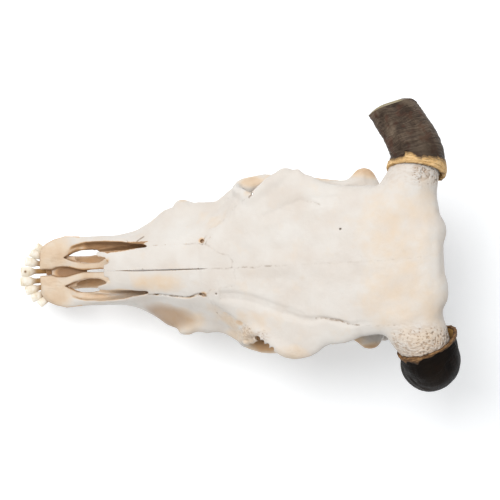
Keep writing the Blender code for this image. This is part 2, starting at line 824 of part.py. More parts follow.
def jaw_side(side, word):
    """One half of the lower jaw with its teeth, cut flat where it stands on the table."""

    def branch_y(x, z):
        return 61 + 0.07 * (x - 330) + 0.06 * (z - 40)

    half = loft_along_x(f"mandible_{word}", JAW_BODY, sides=24)
    masses = [
        upright_slab("branch", JAW_BRANCH, branch_y, BRANCH_THICKNESS),
        egg("jaw_head", *JAW_HEAD),
        loft_on_path("jaw_head_neck", JAW_HEAD_NECK),
    ]
    boolean(half, masses, "UNION")
    thin(fuse(half, JAW_GRAIN, smoothing=2), JAW_TRIANGLES)
    boolean(half, [front_tooth("front_tooth", *row) for row in FRONT_TEETH], "UNION")
    half = to_side(half, side)
    plant_cheek_teeth(half, LOWER_TEETH, LOWER_ROOT_Z, BITE_Z - GAP / MM / 2, side)
    boolean(half, [half_space("other_side", MIDDLE, -side)], "DIFFERENCE")
    boolean(half, [block("under_table", (-100, -300, -100), (700, 300, 0))], "DIFFERENCE")
    hinge = Matrix.Translation(Vector(JAW_HINGE) * MM)
    half.data.transform(hinge @ Matrix.Rotation(JAW_YAW, 4, "Z") @ hinge.inverted())
    return keep_largest(half)


def horn(name, table, saw_cuts, core):
    """A horn sheath, sawn off, with a socket over the end of its bony core."""
    sheath = thin(loft_on_path(name, table, sides=32, between=4), HORN_TRIANGLES)
    for saw_cut in saw_cuts:
        boolean(sheath, [half_space("sawn_off", saw_cut, 1)], "DIFFERENCE")
    socket = [(x, y, z, side + CORE_CLEARANCE, up + CORE_CLEARANCE) for x, y, z, side, up in core]
    before, last = np.array(core[-2][:3]), np.array(core[-1][:3])
    deeper = last + (last - before) * 0.3
    socket[-1] = (*deeper, *socket[-1][3:])
    cutter = loft_on_path("socket", socket, sides=20, between=1)
    return keep_largest(boolean(sheath, [cutter], "DIFFERENCE"))


def finish(obj, material):
    """Gives the object its material and smooth shading with sharp creases."""
    name, colour, roughness = material
    made = bpy.data.materials.get(name) or bpy.data.materials.new(name)
    made.use_nodes = True
    shader = made.node_tree.nodes["Principled BSDF"]
    shader.inputs["Base Color"].default_value = colour
    shader.inputs["Roughness"].default_value = roughness
    obj.data.materials.clear()
    obj.data.materials.append(made)
    obj.data.shade_smooth()
    obj.data.set_sharp_from_angle(angle=math.radians(40))


def stand_on_origin(objects):
    """Moves the whole so that the origin is at the middle of its box, at its foot."""
    corners = np.array([vertex.co for obj in objects for vertex in obj.data.vertices])
    low, high = corners.min(axis=0), corners.max(axis=0)
    middle = (low + high) / 2
    holder = add_object("skull_middle", None)
    holder.location = (-middle[0], -middle[1], -low[2])
    for obj in objects:
        obj.parent = holder


def main():
    clear_scene()
    bones = upper_bones()
    jaws = [jaw_side(1, "right"), jaw_side(-1, "left")]
    right_horn = horn("horn_right", RIGHT_HORN, RIGHT_SAW_CUTS, RIGHT_CORE)
    left_horn = horn("horn_left", LEFT_HORN, LEFT_SAW_CUTS, LEFT_CORE)
    for bone in bones:
        finish(bone, SNOUT_BONE if bone.name.startswith("premaxilla") else BONE)
    for jaw in jaws:
        finish(jaw, JAW_BONE)
    finish(right_horn, PALE_HORN)
    finish(left_horn, DARK_HORN)
    stand_on_origin([*bones, *jaws, right_horn, left_horn])


main()
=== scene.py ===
# %% [markdown]
# # A cow skull with horns, seen from above
#
# The real thing is the cleaned, dried skull of an adult cow, lying on its lower jaw on a white table.
# Both horns were sawn off short: the right one is brown and bends forward, the left one is black and
# droops. The imported model gives the bones their sizes and places. This lesson makes their fine forms,
# sutures, pits and colours.

# %% Load the frame
import functools
import math

import bpy
import numpy as np
import openvdb as vdb
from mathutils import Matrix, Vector


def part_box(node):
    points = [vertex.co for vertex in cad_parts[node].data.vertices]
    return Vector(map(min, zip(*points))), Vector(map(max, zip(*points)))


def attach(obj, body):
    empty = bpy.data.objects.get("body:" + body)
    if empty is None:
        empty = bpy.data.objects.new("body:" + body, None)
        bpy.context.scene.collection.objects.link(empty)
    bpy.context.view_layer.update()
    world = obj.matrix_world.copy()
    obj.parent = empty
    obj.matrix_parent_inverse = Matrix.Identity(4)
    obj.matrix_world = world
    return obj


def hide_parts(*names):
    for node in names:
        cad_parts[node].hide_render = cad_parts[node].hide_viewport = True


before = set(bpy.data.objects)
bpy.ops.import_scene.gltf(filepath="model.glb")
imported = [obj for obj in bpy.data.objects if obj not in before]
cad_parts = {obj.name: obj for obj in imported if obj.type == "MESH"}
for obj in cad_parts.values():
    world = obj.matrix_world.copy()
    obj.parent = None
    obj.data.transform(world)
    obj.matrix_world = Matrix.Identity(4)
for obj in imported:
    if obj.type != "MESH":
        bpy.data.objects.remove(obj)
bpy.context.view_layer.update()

# %% [markdown]
# All shapes below are drawn in millimetres from the tips of the front teeth (x), the skull's middle
# plane (y) and the table (z), because those are the places that one measures on a real skull. Two
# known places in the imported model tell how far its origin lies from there: the cheekbones' front ends
# were cut 268 mm behind the teeth, and their inner sides alike on both sides of the middle.

# %% Millimetres on the skull to metres in the frame
MM = 0.001
CHEEKBONE_FRONT = 268
right_low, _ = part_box("zygomatic_right")
_, left_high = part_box("zygomatic_left")
SHIFT = np.array([
    right_low[0] - CHEEKBONE_FRONT * MM,
    (right_low[1] + left_high[1]) / 2,
    0.0,
])
print("shift", SHIFT)

# %% [markdown]
# ## Skins carried along a path
#
# A bone swells and narrows along its length, so the natural way to draw one is a row of cross
# sections. The tables hold only the sections where the form changes, and a cubic that passes through
# them all gives the sections between. Each skin is closed with a fan at both ends, because the next
# step needs a closed skin.


# %% Rows between the rows of a table
def smooth_rows(rows, place_columns, between):
    """Cubic through the rows: each gap's curve leaves and arrives with the slope through its
    neighbours, measured along the distance between places."""
    rows = np.array(rows, float)
    steps = np.linalg.norm(np.diff(rows[:, :place_columns], axis=0), axis=1)
    along = np.concatenate([[0], np.cumsum(steps)])
    slopes = np.gradient(rows, along, axis=0)
    gaps = len(rows) - 1
    at = np.linspace(0, gaps, gaps * between + 1)
    low = np.minimum(at.astype(int), gaps - 1)
    part = (at - low)[:, None]
    width = (along[low + 1] - along[low])[:, None]
    start = (1 + 2 * part) * (1 - part) ** 2 * rows[low]
    end = part**2 * (3 - 2 * part) * rows[low + 1]
    leave = part * (1 - part) ** 2 * width * slopes[low]
    arrive = part**2 * (part - 1) * width * slopes[low + 1]
    return start + end + leave + arrive


def closed_curve(points, between):
    """Smooth loop: the cubic above over the points, wrapped past both ends."""
    points = np.asarray(points, float)
    wrapped = np.vstack([points[-2:], points, points[:3]])
    curve = smooth_rows(wrapped, points.shape[1], between)
    return curve[2 * between : (2 + len(points)) * between]


# %% Skins over rings of points
def skin_over(rings):
    """Quads join each ring to the next, and a fan from its middle closes each end."""
    count, sides = rings.shape[:2]
    corner = np.arange(sides)
    after = (corner + 1) % sides
    first = (np.arange(count - 1) * sides)[:, None]
    quads = [first + corner, first + after, first + sides + after, first + sides + corner]
    points = np.vstack([rings.reshape(-1, 3), rings[0].mean(0), rings[-1].mean(0)])
    last = (count - 1) * sides
    start_fan = np.stack([np.full(sides, len(points) - 2), after, corner], 1)
    end_fan = np.stack([np.full(sides, len(points) - 1), last + corner, last + after], 1)
    return points, np.stack(quads, 2).reshape(-1, 4), np.vstack([start_fan, end_fan])


def unit_section(power, sides):
    """Superellipse: each coordinate of a circle raised to 2 / power, with its sign kept."""
    turn = np.linspace(0, 2 * math.pi, sides, endpoint=False)
    root = 2 / np.asarray(power, float)[:, None]
    across = np.sign(np.cos(turn)) * np.abs(np.cos(turn)) ** root
    upward = np.sign(np.sin(turn)) * np.abs(np.sin(turn)) ** root
    return across, upward


def loft_along_x(table, sides=64, between=8):
    """Upright sections. Rows: x, y, half width, lowest z, highest z, squareness."""
    x, y, half, low, high, power = smooth_rows(table, 2, between).T
    across, upward = unit_section(power, sides)
    x = np.broadcast_to(x[:, None], across.shape)
    y = y[:, None] + half[:, None] * across
    z = (low + high)[:, None] / 2 + (high - low)[:, None] / 2 * upward
    return skin_over(np.stack([x, y, z], 2))


def loft_face(table, between=8):
    """Upright sections. Rows: x, then y, z points of the right side, mirrored to the left."""
    flat = [[x] + [number for point in points for number in point] for x, *points in table]
    rings = []
    for row in smooth_rows(flat, 1, between):
        right = row[1:].reshape(-1, 2)
        loop = closed_curve(np.vstack([right, right[-2:0:-1] * (-1, 1)]), 6)
        rings.append(np.column_stack([np.full(len(loop), row[0]), loop]))
    return skin_over(np.array(rings))


def path_frames(path):
    """At each point of a path: the way ahead, a level side way, and the lift square to both."""
    ahead = np.gradient(path, axis=0)
    ahead /= np.linalg.norm(ahead, axis=1)[:, None]
    side = np.cross(ahead, (0, 0, 1)) + np.array((0, 1e-3, 0))
    side /= np.linalg.norm(side, axis=1)[:, None]
    return ahead, side, np.cross(side, ahead)


def rings_on(path, side, lift, across, upward):
    """Rings round a path: each of its points, plus the side way times the section's reach across,
    plus the lift times its reach upwards."""
    return path[:, None] + side[..., None, :] * across[:, :, None] + lift[..., None, :] * upward[:, :, None]


def loft_on_path(table, sides=40, between=8):
    """Elliptic tube. Rows: x, y, z, radius to the side, radius upwards."""
    rows = smooth_rows(table, 3, between)
    _, side, lift = path_frames(rows[:, :3])
    across, upward = unit_section(np.full(len(rows), 2), sides)
    return skin_over(rings_on(rows[:, :3], side, lift, across * rows[:, 3:4], upward * rows[:, 4:5]))


# %% [markdown]
# ## Bone as a volume
#
# A skull is full of arches, rims and holes, which are hard to weave as one net of faces. So the skins
# are turned into a volume: a block of voxels, each of which knows its distance to the bone's surface.
# There a smooth minimum joins two forms with a soft fillet, as bone grows, and a smooth maximum cuts a
# hollow. At the end the surface where the distance is nothing is drawn out as a fine net again.
# Blender comes with OpenVDB, which does both steps, and the rest is plain numpy.

# %% Volumes
GRAIN = 1.15  # a voxel's side, in millimetres: about one pixel of the photograph
BAND = 8  # voxels each side of a skin whose distance is kept
FAR = BAND * GRAIN
PLATE_ROUND = 4  # millimetres over which a plate's edges are rounded
TINY = 1e-9  # keeps a division from having nothing under the line
voxel_space = vdb.createLinearTransform(voxelSize=GRAIN)


def voxel_span(low, high):
    """The grid indices of a box's first and last voxels."""
    return np.floor(np.array(low) / GRAIN).astype(int), np.ceil(np.array(high) / GRAIN).astype(int)


def empty_volume(low, high):
    """A block of voxels that holds no bone, and the grid index of its first one."""
    first, last = voxel_span(low, high)
    return {"first": first, "field": np.full(last - first + 1, FAR, np.float32)}


def axes_of(volume):
    """The x, y and z of every voxel, as three arrays that broadcast over the block."""
    counts = volume["field"].shape
    spans = [(start + np.arange(count)) * GRAIN for start, count in zip(volume["first"], counts)]
    x, y, z = (span.astype(np.float32) for span in spans)
    return x[:, None, None], y[None, :, None], z[None, None, :]


def smooth_step(value, low, high):
    """0 below low, 1 above high, and an even s-curve between."""
    part = np.clip((value - low) / (high - low), 0, 1)
    return part * part * (3 - 2 * part)


def smooth_min(a, b, blend):
    """The smaller of two distances, lowered by up to a quarter of blend where they are close."""
    near = np.maximum(blend - np.abs(a - b), 0) / blend
    return np.minimum(a, b) - near * near * (blend / 4)


def blended(old, new, action, blend):
    """The new form joined to the old one, or cut out of it: -min(-old, new) is max(old, -new)."""
    return smooth_min(old, new, blend) if action == "join" else -smooth_min(-old, new, blend)


def distances(skin):
    """Signed distances to a closed skin, on the voxels of its own box, and that box's first index."""
    points, quads, triangles = skin
    first, last = voxel_span(points.min(0), points.max(0))
    first, last = first - BAND, last + BAND
    grid = vdb.FloatGrid.createLevelSetFromPolygons(
        points.astype(np.float32),
        quads=quads.astype(np.uint32),
        triangles=triangles.astype(np.uint32),
        transform=voxel_space,
        halfWidth=float(BAND),
    )
    block = np.empty(last - first + 1, np.float32)
    grid.copyToArray(block, ijk=tuple(int(i) for i in first))
    return block, first


def blend_block(volume, block, first, action, blend):
    """Joins a block of distances to the volume where they overlap, or cuts it out."""
    low = np.maximum(first, volume["first"])
    high = np.minimum(first + block.shape, volume["first"] + volume["field"].shape)
    there = tuple(slice(a, b) for a, b in zip(low - volume["first"], high - volume["first"]))
    here = tuple(slice(a, b) for a, b in zip(low - first, high - first))
    volume["field"][there] = blended(volume["field"][there], block[here], action, blend)


def blend_sides(volume, block, first, action, blend, both):
    """Blends a block in, and its mirror image in the middle plane too where both is set."""
    blend_block(volume, block, first, action, blend)
    if both:
        mirrored_first = first.copy()
        mirrored_first[1] = -(first[1] + block.shape[1] - 1)
        blend_block(volume, block[:, ::-1], mirrored_first, action, blend)


def shape_in(volume, skin, action="join", blend=5.0, both=False):
    """Joins or cuts a skin, on both sides of the middle where both is set."""
    block, first = distances(skin)
    blend_sides(volume, block, first, action, blend, both)


def eggs_in(volume, rows, action="join", blend=5.0, both=True):
    """Rows: centre, then half length, half width and half height. The distance to an egg is its
    scaled radius r times r - 1, over how steeply r grows there."""
    for centre, radii in rows:
        centre, radii = np.array(centre), np.array(radii)
        first, last = voxel_span(centre - radii, centre + radii)
        first, last = first - BAND, last + BAND
        spans = [np.arange(a, b + 1) * GRAIN - c for a, b, c in zip(first, last, centre)]
        away = np.meshgrid(*spans, indexing="ij")
        scaled = np.sqrt(sum((part / size) ** 2 for part, size in zip(away, radii)))
        steep = np.sqrt(sum((part / size**2) ** 2 for part, size in zip(away, radii))) + 1e-6
        block = np.clip(scaled * (scaled - 1) / steep, -FAR, FAR).astype(np.float32)
        blend_sides(volume, block, first, action, blend, both)


def part_of(volume, low, high):
    """The voxels between two corners: their slices, and their x, y and z."""
    first, last = voxel_span(low, high)
    starts, ends = np.maximum(first - volume["first"], 0), last - volume["first"] + 1
    there = tuple(slice(a, min(b, size)) for a, b, size in zip(starts, ends, volume["field"].shape))
    x, y, z = axes_of(volume)
    return there, x[there[0]], y[:, there[1]], z[:, :, there[2]]


def outline_distance(outline, u, v):
    """Signed distance to a closed outline: the least distance to any side, negative within."""
    corners = np.asarray(outline, np.float32)
    best = np.full(np.broadcast(u, v).shape, np.inf, np.float32)
    inside = np.zeros(best.shape, bool)
    for (u0, v0), (u1, v1) in zip(corners, np.roll(corners, -1, 0)):
        du, dv = u1 - u0, v1 - v0
        along = np.clip(((u - u0) * du + (v - v0) * dv) / (du * du + dv * dv), 0, 1)
        best = np.minimum(best, (u - u0 - along * du) ** 2 + (v - v0 - along * dv) ** 2)
        rise = np.where(abs(dv) < TINY, TINY, dv)
        inside ^= ((v0 > v) != (v1 > v)) & (u < du * (v - v0) / rise + u0)
    return np.where(inside, -1, 1).astype(np.float32) * np.sqrt(best)


def plate_in(volume, outline, span, lies="xy", action="join", blend=4.0):
    """A flat plate on both sides of the middle: its distance is the larger one of those to its
    outline and to its faces, rounded where the two are close."""
    corners = np.array(outline)
    low, high = corners.min(0) - FAR, corners.max(0) + FAR
    if lies == "xy":
        there, x, y, z = part_of(volume, (low[0], -high[1], span[0] - FAR), (*high, span[1] + FAR))
        edge = outline_distance(outline, x, np.abs(y))
        face = np.maximum(span[0] - z, z - span[1])
    else:
        reach = span[1] + FAR
        there, x, y, z = part_of(volume, (low[0], -reach, low[1]), (high[0], reach, high[1]))
        edge = outline_distance(outline, x, z)
        face = np.maximum(span[0] - np.abs(y), np.abs(y) - span[1])
    plate = -smooth_min(-edge, -face, PLATE_ROUND)
    volume["field"][there] = blended(volume["field"][there], plate, action, blend)


def on_top(volume, places):
    """Points of the bone's upper surface at these x, y places."""
    points = []
    for x, y in places:
        i, j = np.round(np.array((x, y)) / GRAIN).astype(int) - volume["first"][:2]
        column = volume["field"][i, j]
        k = np.flatnonzero(column < 0)[-1]
        part = column[k] / (column[k] - column[k + 1])
        points.append((x, y, (volume["first"][2] + k + part) * GRAIN))
    return points


def channel(points, radius, sides=12):
    """A thin round tube along a line of points, to carve a groove or a hole."""
    rows = [(*point, radius, radius) for point in points]
    return loft_on_path(rows, sides, 2)


# %% [markdown]
# ## The upper skull's forms
#
# These tables are the skull's anatomy, measured in the photograph where it shows and taken from the
# species where it doesn't: forehead, braincase, face, the free front of the nose bones, the back wall,
# cheek ridge and arch, the jaw joint's shelf, ear, neck joints and horn cores.

# %% Tables of the upper skull
FOREHEAD = [
    (236, 0, 36, 172, 201, 2.4),
    (262, 0, 53, 182, 211, 2.5),
    (285, 0, 70, 194, 220, 2.7),
    (304, 0, 88, 209, 229, 2.8),
    (313, 0, 96.5, 214, 232, 2.8),
    (323, 0, 104.5, 218, 236, 2.9),
    (341, 0, 113, 222, 243, 3.0),
    (354, 0, 112.5, 225, 248, 3.0),
    (367, 0, 106, 228, 254, 3.0),
    (384, 0, 98, 230, 260, 3.0),
    (412, 0, 92, 233, 270, 3.0),
    (450, 0, 88, 237, 282, 3.0),
    (485, 0, 86, 240, 290, 2.9),
    (508, 0, 79, 246, 292, 2.8),
    (517.5, 0, 66, 252, 289, 2.6),
    (523.5, 0, 46, 262, 282, 2.4),
]
BRAINCASE = [
    (288, 0, 34, 132, 214, 2.3),
    (322, 0, 25, 136, 236, 2.2),
    (350, 0, 33, 140, 246, 2.1),
    (385, 0, 47, 142, 258, 2.1),
    (430, 0, 55, 142, 270, 2.2),
    (470, 0, 60, 143, 278, 2.4),
    (500, 0, 58, 146, 280, 2.5),
    (512, 0, 50, 152, 276, 2.5),
]
# Rows: x, then y, z of the roof's middle, nose bone's edge, upper cheek, cheek ridge, lower cheek,
# tooth line and middle of the palate
FACE = [
    (56, (0, 97), (30, 97), (40, 97), (44.5, 95), (45, 92), (42, 88), (0, 88)),
    (80, (0, 111), (30, 111), (38, 110), (44, 104), (44.2, 96), (40, 90), (0, 89)),
    (104, (0, 128), (30, 128), (37, 127), (43.4, 114), (44.4, 102), (40, 94), (0, 93)),
    (130, (0, 146), (30, 146), (37, 145), (43, 126), (45.5, 110), (42, 98), (0, 97)),
    (150, (0, 166), (29, 162), (38, 152), (46, 134), (50, 116), (45, 101), (0, 100)),
    (170, (0, 177), (29, 172), (42, 156), (56, 139), (60, 122), (52, 105), (0, 103)),
    (190, (0, 186), (31, 180), (49, 161), (71, 146), (71.5, 128), (57, 108), (0, 106)),
    (211, (0, 193), (34, 187), (56, 166), (79, 149), (74, 132), (60, 110), (0, 109)),
    (240, (0, 203), (39, 197), (60, 176), (77, 154), (74, 134), (64, 113), (0, 112)),
    (262, (0, 211), (46, 205), (65, 187), (79, 161), (75, 138), (67, 115), (0, 114)),
    (280, (0, 217), (56, 213), (77, 202), (90, 172), (78, 144), (67, 118), (0, 117)),
    (298, (0, 222), (64, 220), (84, 214), (88, 172), (68, 144), (56, 123), (0, 120)),
    (312, (0, 224), (60, 221), (70, 212), (62, 176), (50, 150), (38, 130), (0, 124)),
]
NOSE_ROOF = [
    (101, 0, 24, 133, 151, 2.2),
    (112, 0, 25, 136, 156.5, 2.2),
    (135, 0, 26.5, 142, 166, 2.2),
    (165, 0, 28.5, 153, 178, 2.2),
    (206, 0, 30, 168, 192, 2.2),
    (236, 0, 31, 178, 201, 2.2),
]
NOSE_ROOF_THICKNESS = 4.5
NOSE_ROOF_SIDE = 3  # its thickness at the sides
NOSE_ROOF_OPEN = 80  # the inner beam starts here, in front of the roof, so that the end is open
NOSE_ROOF_DROP = 10  # from the middle of the roof to its free edges
# The notch in each nose bone's tip, and the hole between the front bones, from above
NOSE_NOTCH = [(80, 18.5), (102, 18), (111, 16.5), (117, 12.5), (116, 9.5), (110, 7), (108, -9), (80, -9)]
LIP_HOLE = [
    (18, 2.0), (30, 2.3), (38, 2.8), (43, 5.4), (50, 6.4), (57, 6.1), (64, 4.4), (72, 2.4),
    (79, 1.3), (88, 1.7), (100, 2.0), (109, 1.7), (116, 0.9), (120, 0.4), (120, -9), (18, -9),
]
LIP_FLOOR = [(36, 3), (44, 8), (62, 8), (82, 4), (82, -9), (36, -9)]
NOSE_CAVITY = [
    (30, 0, 33, 99, 190, 2.8),
    (60, 0, 34, 99, 205, 3.0),
    (100, 0, 34, 101, 215, 3.0),
    (140, 0, 33, 106, 215, 2.8),
    (166, 0, 31, 111, 190, 2.6),
    (190, 0, 29, 116, 184, 2.5),
    (220, 0, 24, 122, 186, 2.4),
    (246, 0, 12, 132, 170, 2.2),
]
PALATE_HOLLOW = [
    (88, 0, 24, 80, 93, 2.4),
    (150, 0, 30, 80, 104, 2.4),
    (200, 0, 35, 80, 114, 2.4),
    (300, 0, 40, 80, 121, 2.4),
    (322, 0, 44, 80, 124, 2.4),
]
INNER_NOSTRIL = [(286, 10, 136, 7, 9), (306, 10, 130, 8, 11), (340, 10, 124, 9, 15)]
# Rows: z, half width, front x, back x
NAPE_WALL = [
    (148, 27, 478, 506),
    (166, 60, 470, 508),
    (180, 87, 462, 506),
    (191, 96, 458, 504),
    (202, 88, 460, 507),
    (216, 76, 463, 510),
    (232, 71, 466, 511),
    (254, 74, 468, 514),
    (276, 80, 474, 521.5),
]
# A loop of points round each eye's opening, and the rim's thickness, which grows with x
SOCKET_RIM_THICKNESS = ((285, 4.5), (300, 4.5), (335, 6), (350, 6.5))
SOCKET_RIM = [
    (281, 91, 190), (283, 96.5, 174), (308, 103.5, 165), (335, 105, 172), (349, 105.5, 196),
    (349, 107.5, 220), (337, 107.5, 232), (323, 99, 229), (310, 88, 224), (299, 80, 218),
    (289, 85, 206),
]
CHEEK_RIDGE = [
    (204, 74, 147, 6, 6),
    (230, 73, 151, 7.5, 7),
    (258, 74, 157, 8, 9),
    (270, 80, 160, 8.5, 10),
    (287, 92, 164, 8.5, 11),
    (312, 101, 167, 7, 10),
    (344, 102, 176, 6, 9),
    (370, 99.5, 182, 5, 10),
    (392, 98, 186, 5, 10),
    (414, 95, 189, 5.5, 10),
    (438, 98, 191, 8, 9),
]
# How far further in than the right one the left cheek arch lies: x, and millimetres
LEFT_ARCH_IN = ((344, 0), (385, 4), (414, 5.5), (438, 4))
LEFT_SHELF_IN = 4  # the same for the tip of the joint's shelf
# Rows: y, centre x, half length, lowest z, highest z
JOINT_SHELF = [
    (40, 446, 30, 158, 212),
    (62, 443, 26, 176, 206),
    (88, 440, 20, 181, 202),
    (100, 439, 16, 181, 200),
    (106, 439, 13, 182, 199),
    (110, 439, 9.5, 184, 197.5),
    (112.5, 439, 5.5, 186.5, 195.5),
    (113.5, 439, 1, 190, 192),
]
EAR_TUBE = [(454, 50, 178, 11, 11), (465, 70, 186, 9, 9), (470, 84, 190, 9, 9)]
NECK_PROCESS = [(490, 46, 190, 12, 14), (484, 50, 160, 9, 12), (474, 46, 132, 6, 8), (470, 43, 114, 3, 4)]
RIGHT_CORE = [
    (474, 32, 250, 36, 20),
    (480, 56, 260, 40, 25),
    (486, 80, 263, 35, 25.5),
    (492, 98, 263, 31, 25.5),
    (495, 110, 263, 29, 25),
    (496, 118, 263, 26, 22),
]
LEFT_CORE = [
    (475, -32, 250, 36, 20),
    (481, -56, 260, 40, 25),
    (488, -78, 262, 36, 25.5),
    (497, -97, 262, 32.5, 26.5),
    (501, -108, 260, 30, 26),
    (503, -115, 257, 27, 23),
]
# Eggs: centre, then half length, half width and half height
SWELLINGS = [
    ((508, 21, 160), (15, 13, 21)),
    ((452, 35, 142), (18, 10, 20)),
    ((508, 34, 276), (20, 21, 15)),
    ((300, 46, 138), (26, 18, 22)),
]
LEFT_POLL_KNOB = [((508, -45, 274), (18.5, 18, 15))]
LEFT_JOINT_KNOBS = [((457, -93, 178), (9, 7.5, 9)), ((436, -97, 181), (6, 5, 6))]
# The lumpy front rim of the left eye's opening, as eggs too
LEFT_RIM_LUMPS = [
    ((298, -89.5, 209), (4.5, 4, 5)),
    ((293, -92.5, 204), (5, 4.2, 5)),
    ((286.5, -94.5, 199), (5, 4, 5)),
]
LIP_SWELLINGS = [((46, 23, 91.5), (24, 19, 9))]
FACE_KNOB = [((213, 79, 148), (10, 6.5, 8))]
NOSE_KNOBS = [((117, 13.6, 152.5), (4, 3.4, 3))]
# The hollow inside each cheek wall of the nose, right then left: x, y, z, half width, half height
NOSE_WALL_HOLLOWS = [
    [
        (56, 21.5, 97, 5, 12),
        (70, 27.5, 108, 6, 16),
        (90, 31, 125, 6, 20),
        (115, 31, 143, 5.5, 22),
        (140, 29, 151, 4, 18),
        (150, 28, 155, 2, 8),
    ],
    [
        (56, -22, 97, 5, 12),
        (70, -28.5, 108, 6, 16),
        (90, -32, 125, 6, 20),
        (115, -32.2, 143, 5.8, 22),
        (140, -30, 151, 4, 18),
        (150, -28.5, 155, 2, 8),
    ],
]
SOCKET_HOLLOW = [((324, 84, 196), (37, 52, 30))]
NECK_HOLE = [(540, 0, 183, 17, 15), (515, 0, 182, 17, 15), (478, 0, 178, 13, 12)]
# Knobs along the left eye's ragged upper edge, and nicks between them: x, y and radius
RAGGED_EDGE = [
    ((294, -88), 2.8),
    ((304.5, -88.4), 1.7),
    ((310.4, -92), 2.2),
    ((314.4, -97), 2.0),
    ((321, -101.5), 2.4),
]
EDGE_NICKS = [
    ((300.3, -88.9), 2.8),
    ((305.7, -92.8), 2.6),
    ((311.4, -97.6), 3.0),
    ((317.2, -101.8), 2.6),
    ((300.2, 85.2), 1.3),
]
RAGGED_EDGE_Z = 226
WING_PLATE = [(296, 116), (300, 150), (372, 150), (366, 132), (350, 112), (334, 102), (318, 106)]
LIP_PLATE = [
    (21.5, 4), (22, 12), (26, 21), (32.5, 33), (43, 41.5), (54, 45.5), (68, 43.5), (92, 41),
    (92, 27), (68, 27), (50, 20.5), (68, 13.5), (88, 9), (122, 8), (122, 1), (88, 0.8), (74, 2.5),
    (60, 6), (48, 5), (38, 3),
]
PALATE_SLIT = [(54, 18), (62, 24), (74, 26.5), (92, 26.5), (104, 23), (110, 17), (100, 11), (82, 9), (66, 13)]
# The nostril's front end, and the slot through its floor, from above
NOSTRIL_FRONT = [
    (54, 18.3), (60, 21.5), (70, 26), (84, 28), (98, 27), (104, 14), (96, 11), (80, 11.5), (66, 14),
]
NOSTRIL_SLOT = [(59, 20.5), (66, 24), (76, 27), (92, 27), (92, 19.7), (74, 19.3)]
# What is left of the nose's middle wall, seen from the side: a dark sheet, stained brown, that puts painted
# shade in the gap between the nose bones
NOSE_GAP_SHADE_PLATE = [(112, 134), (244, 185), (244, 176), (112, 125)]

# %% Shape the upper skull
skull = empty_volume((14, -130, 78), (536, 130, 302))
print("voxels", skull["field"].size)

shape_in(skull, loft_along_x(FOREHEAD))
shape_in(skull, loft_along_x(BRAINCASE), blend=8)
shape_in(skull, loft_face(FACE), blend=6)
nape = [((front + back) / 2, 0, z, half, (back - front) / 2) for z, half, front, back in NAPE_WALL]
shape_in(skull, loft_on_path(nape), blend=7)
shelf = [(x, y, (low + high) / 2, half, (high - low) / 2) for y, x, half, low, high in JOINT_SHELF]
shape_in(skull, loft_on_path(shelf))
left_shelf = [(x, LEFT_SHELF_IN * smooth_step(y, 60, 100) - y, *sizes) for x, y, *sizes in shelf]
shape_in(skull, loft_on_path(left_shelf))
shape_in(skull, loft_on_path(EAR_TUBE), both=True)
shape_in(skull, loft_on_path(NECK_PROCESS), both=True)
eggs_in(skull, SWELLINGS)
eggs_in(skull, LEFT_POLL_KNOB + LEFT_JOINT_KNOBS, both=False)
plate_in(skull, WING_PLATE, (18.5, 23.5), lies="xz")
print("masses joined")

# %% Hollow it
shape_in(skull, loft_along_x(NOSE_CAVITY), "cut", 3)
shape_in(skull, loft_along_x(PALATE_HOLLOW), "cut", 6)
shape_in(skull, loft_on_path(INNER_NOSTRIL), "cut", 3, both=True)
eggs_in(skull, SOCKET_HOLLOW, "cut", 4)
shape_in(skull, loft_on_path(NECK_HOLE), "cut", 3)
plate_in(skull, PALATE_SLIT, (60, 120), action="cut", blend=3)
for hollow in NOSE_WALL_HOLLOWS:
    shape_in(skull, loft_on_path(hollow), "cut", 2)
# A dark sheet deep in the nose: painted shade for the gap between the nose bones
plate_in(skull, NOSE_GAP_SHADE_PLATE, (0, 3), lies="xz", blend=2)
print("hollows cut")

# %% [markdown]
# The nose bones are thin plates that arch over the nose opening and end free in front. A lens-shaped
# beam gives their upper side, a smaller one inside it takes the rest away, and a plane that falls with
# the face trims the edges.

# %% Nose roof, lips, rims and horn cores


def nose_roof():
    """The beam's distance, less the inner beam's, less all that lies below the roof's free edges."""
    beam, first = distances(loft_along_x(NOSE_ROOF))
    inner = [
        (x, y, half - NOSE_ROOF_SIDE, low, high - NOSE_ROOF_THICKNESS, power)
        for x, y, half, low, high, power in NOSE_ROOF
    ]
    inner[0] = (NOSE_ROOF_OPEN, *inner[0][1:])
    block, inner_first = distances(loft_along_x(inner))
    whole = np.full(beam.shape, FAR, np.float32)
    low = np.maximum(first, inner_first)
    high = np.minimum(first + beam.shape, inner_first + block.shape)
    here = tuple(slice(a, b) for a, b in zip(low - first, high - first))
    there = tuple(slice(a, b) for a, b in zip(low - inner_first, high - inner_first))
    whole[here] = block[there]
    x = ((first[0] + np.arange(beam.shape[0])) * GRAIN)[:, None, None]
    z = ((first[2] + np.arange(beam.shape[2])) * GRAIN)[None, None, :]
    rows = np.array(NOSE_ROOF)
    floor = np.interp(x, rows[:, 0], rows[:, 4]) - NOSE_ROOF_DROP - z
    shell = -smooth_min(-beam, whole, 2)
    return -smooth_min(-shell, -floor.astype(np.float32), 2), first


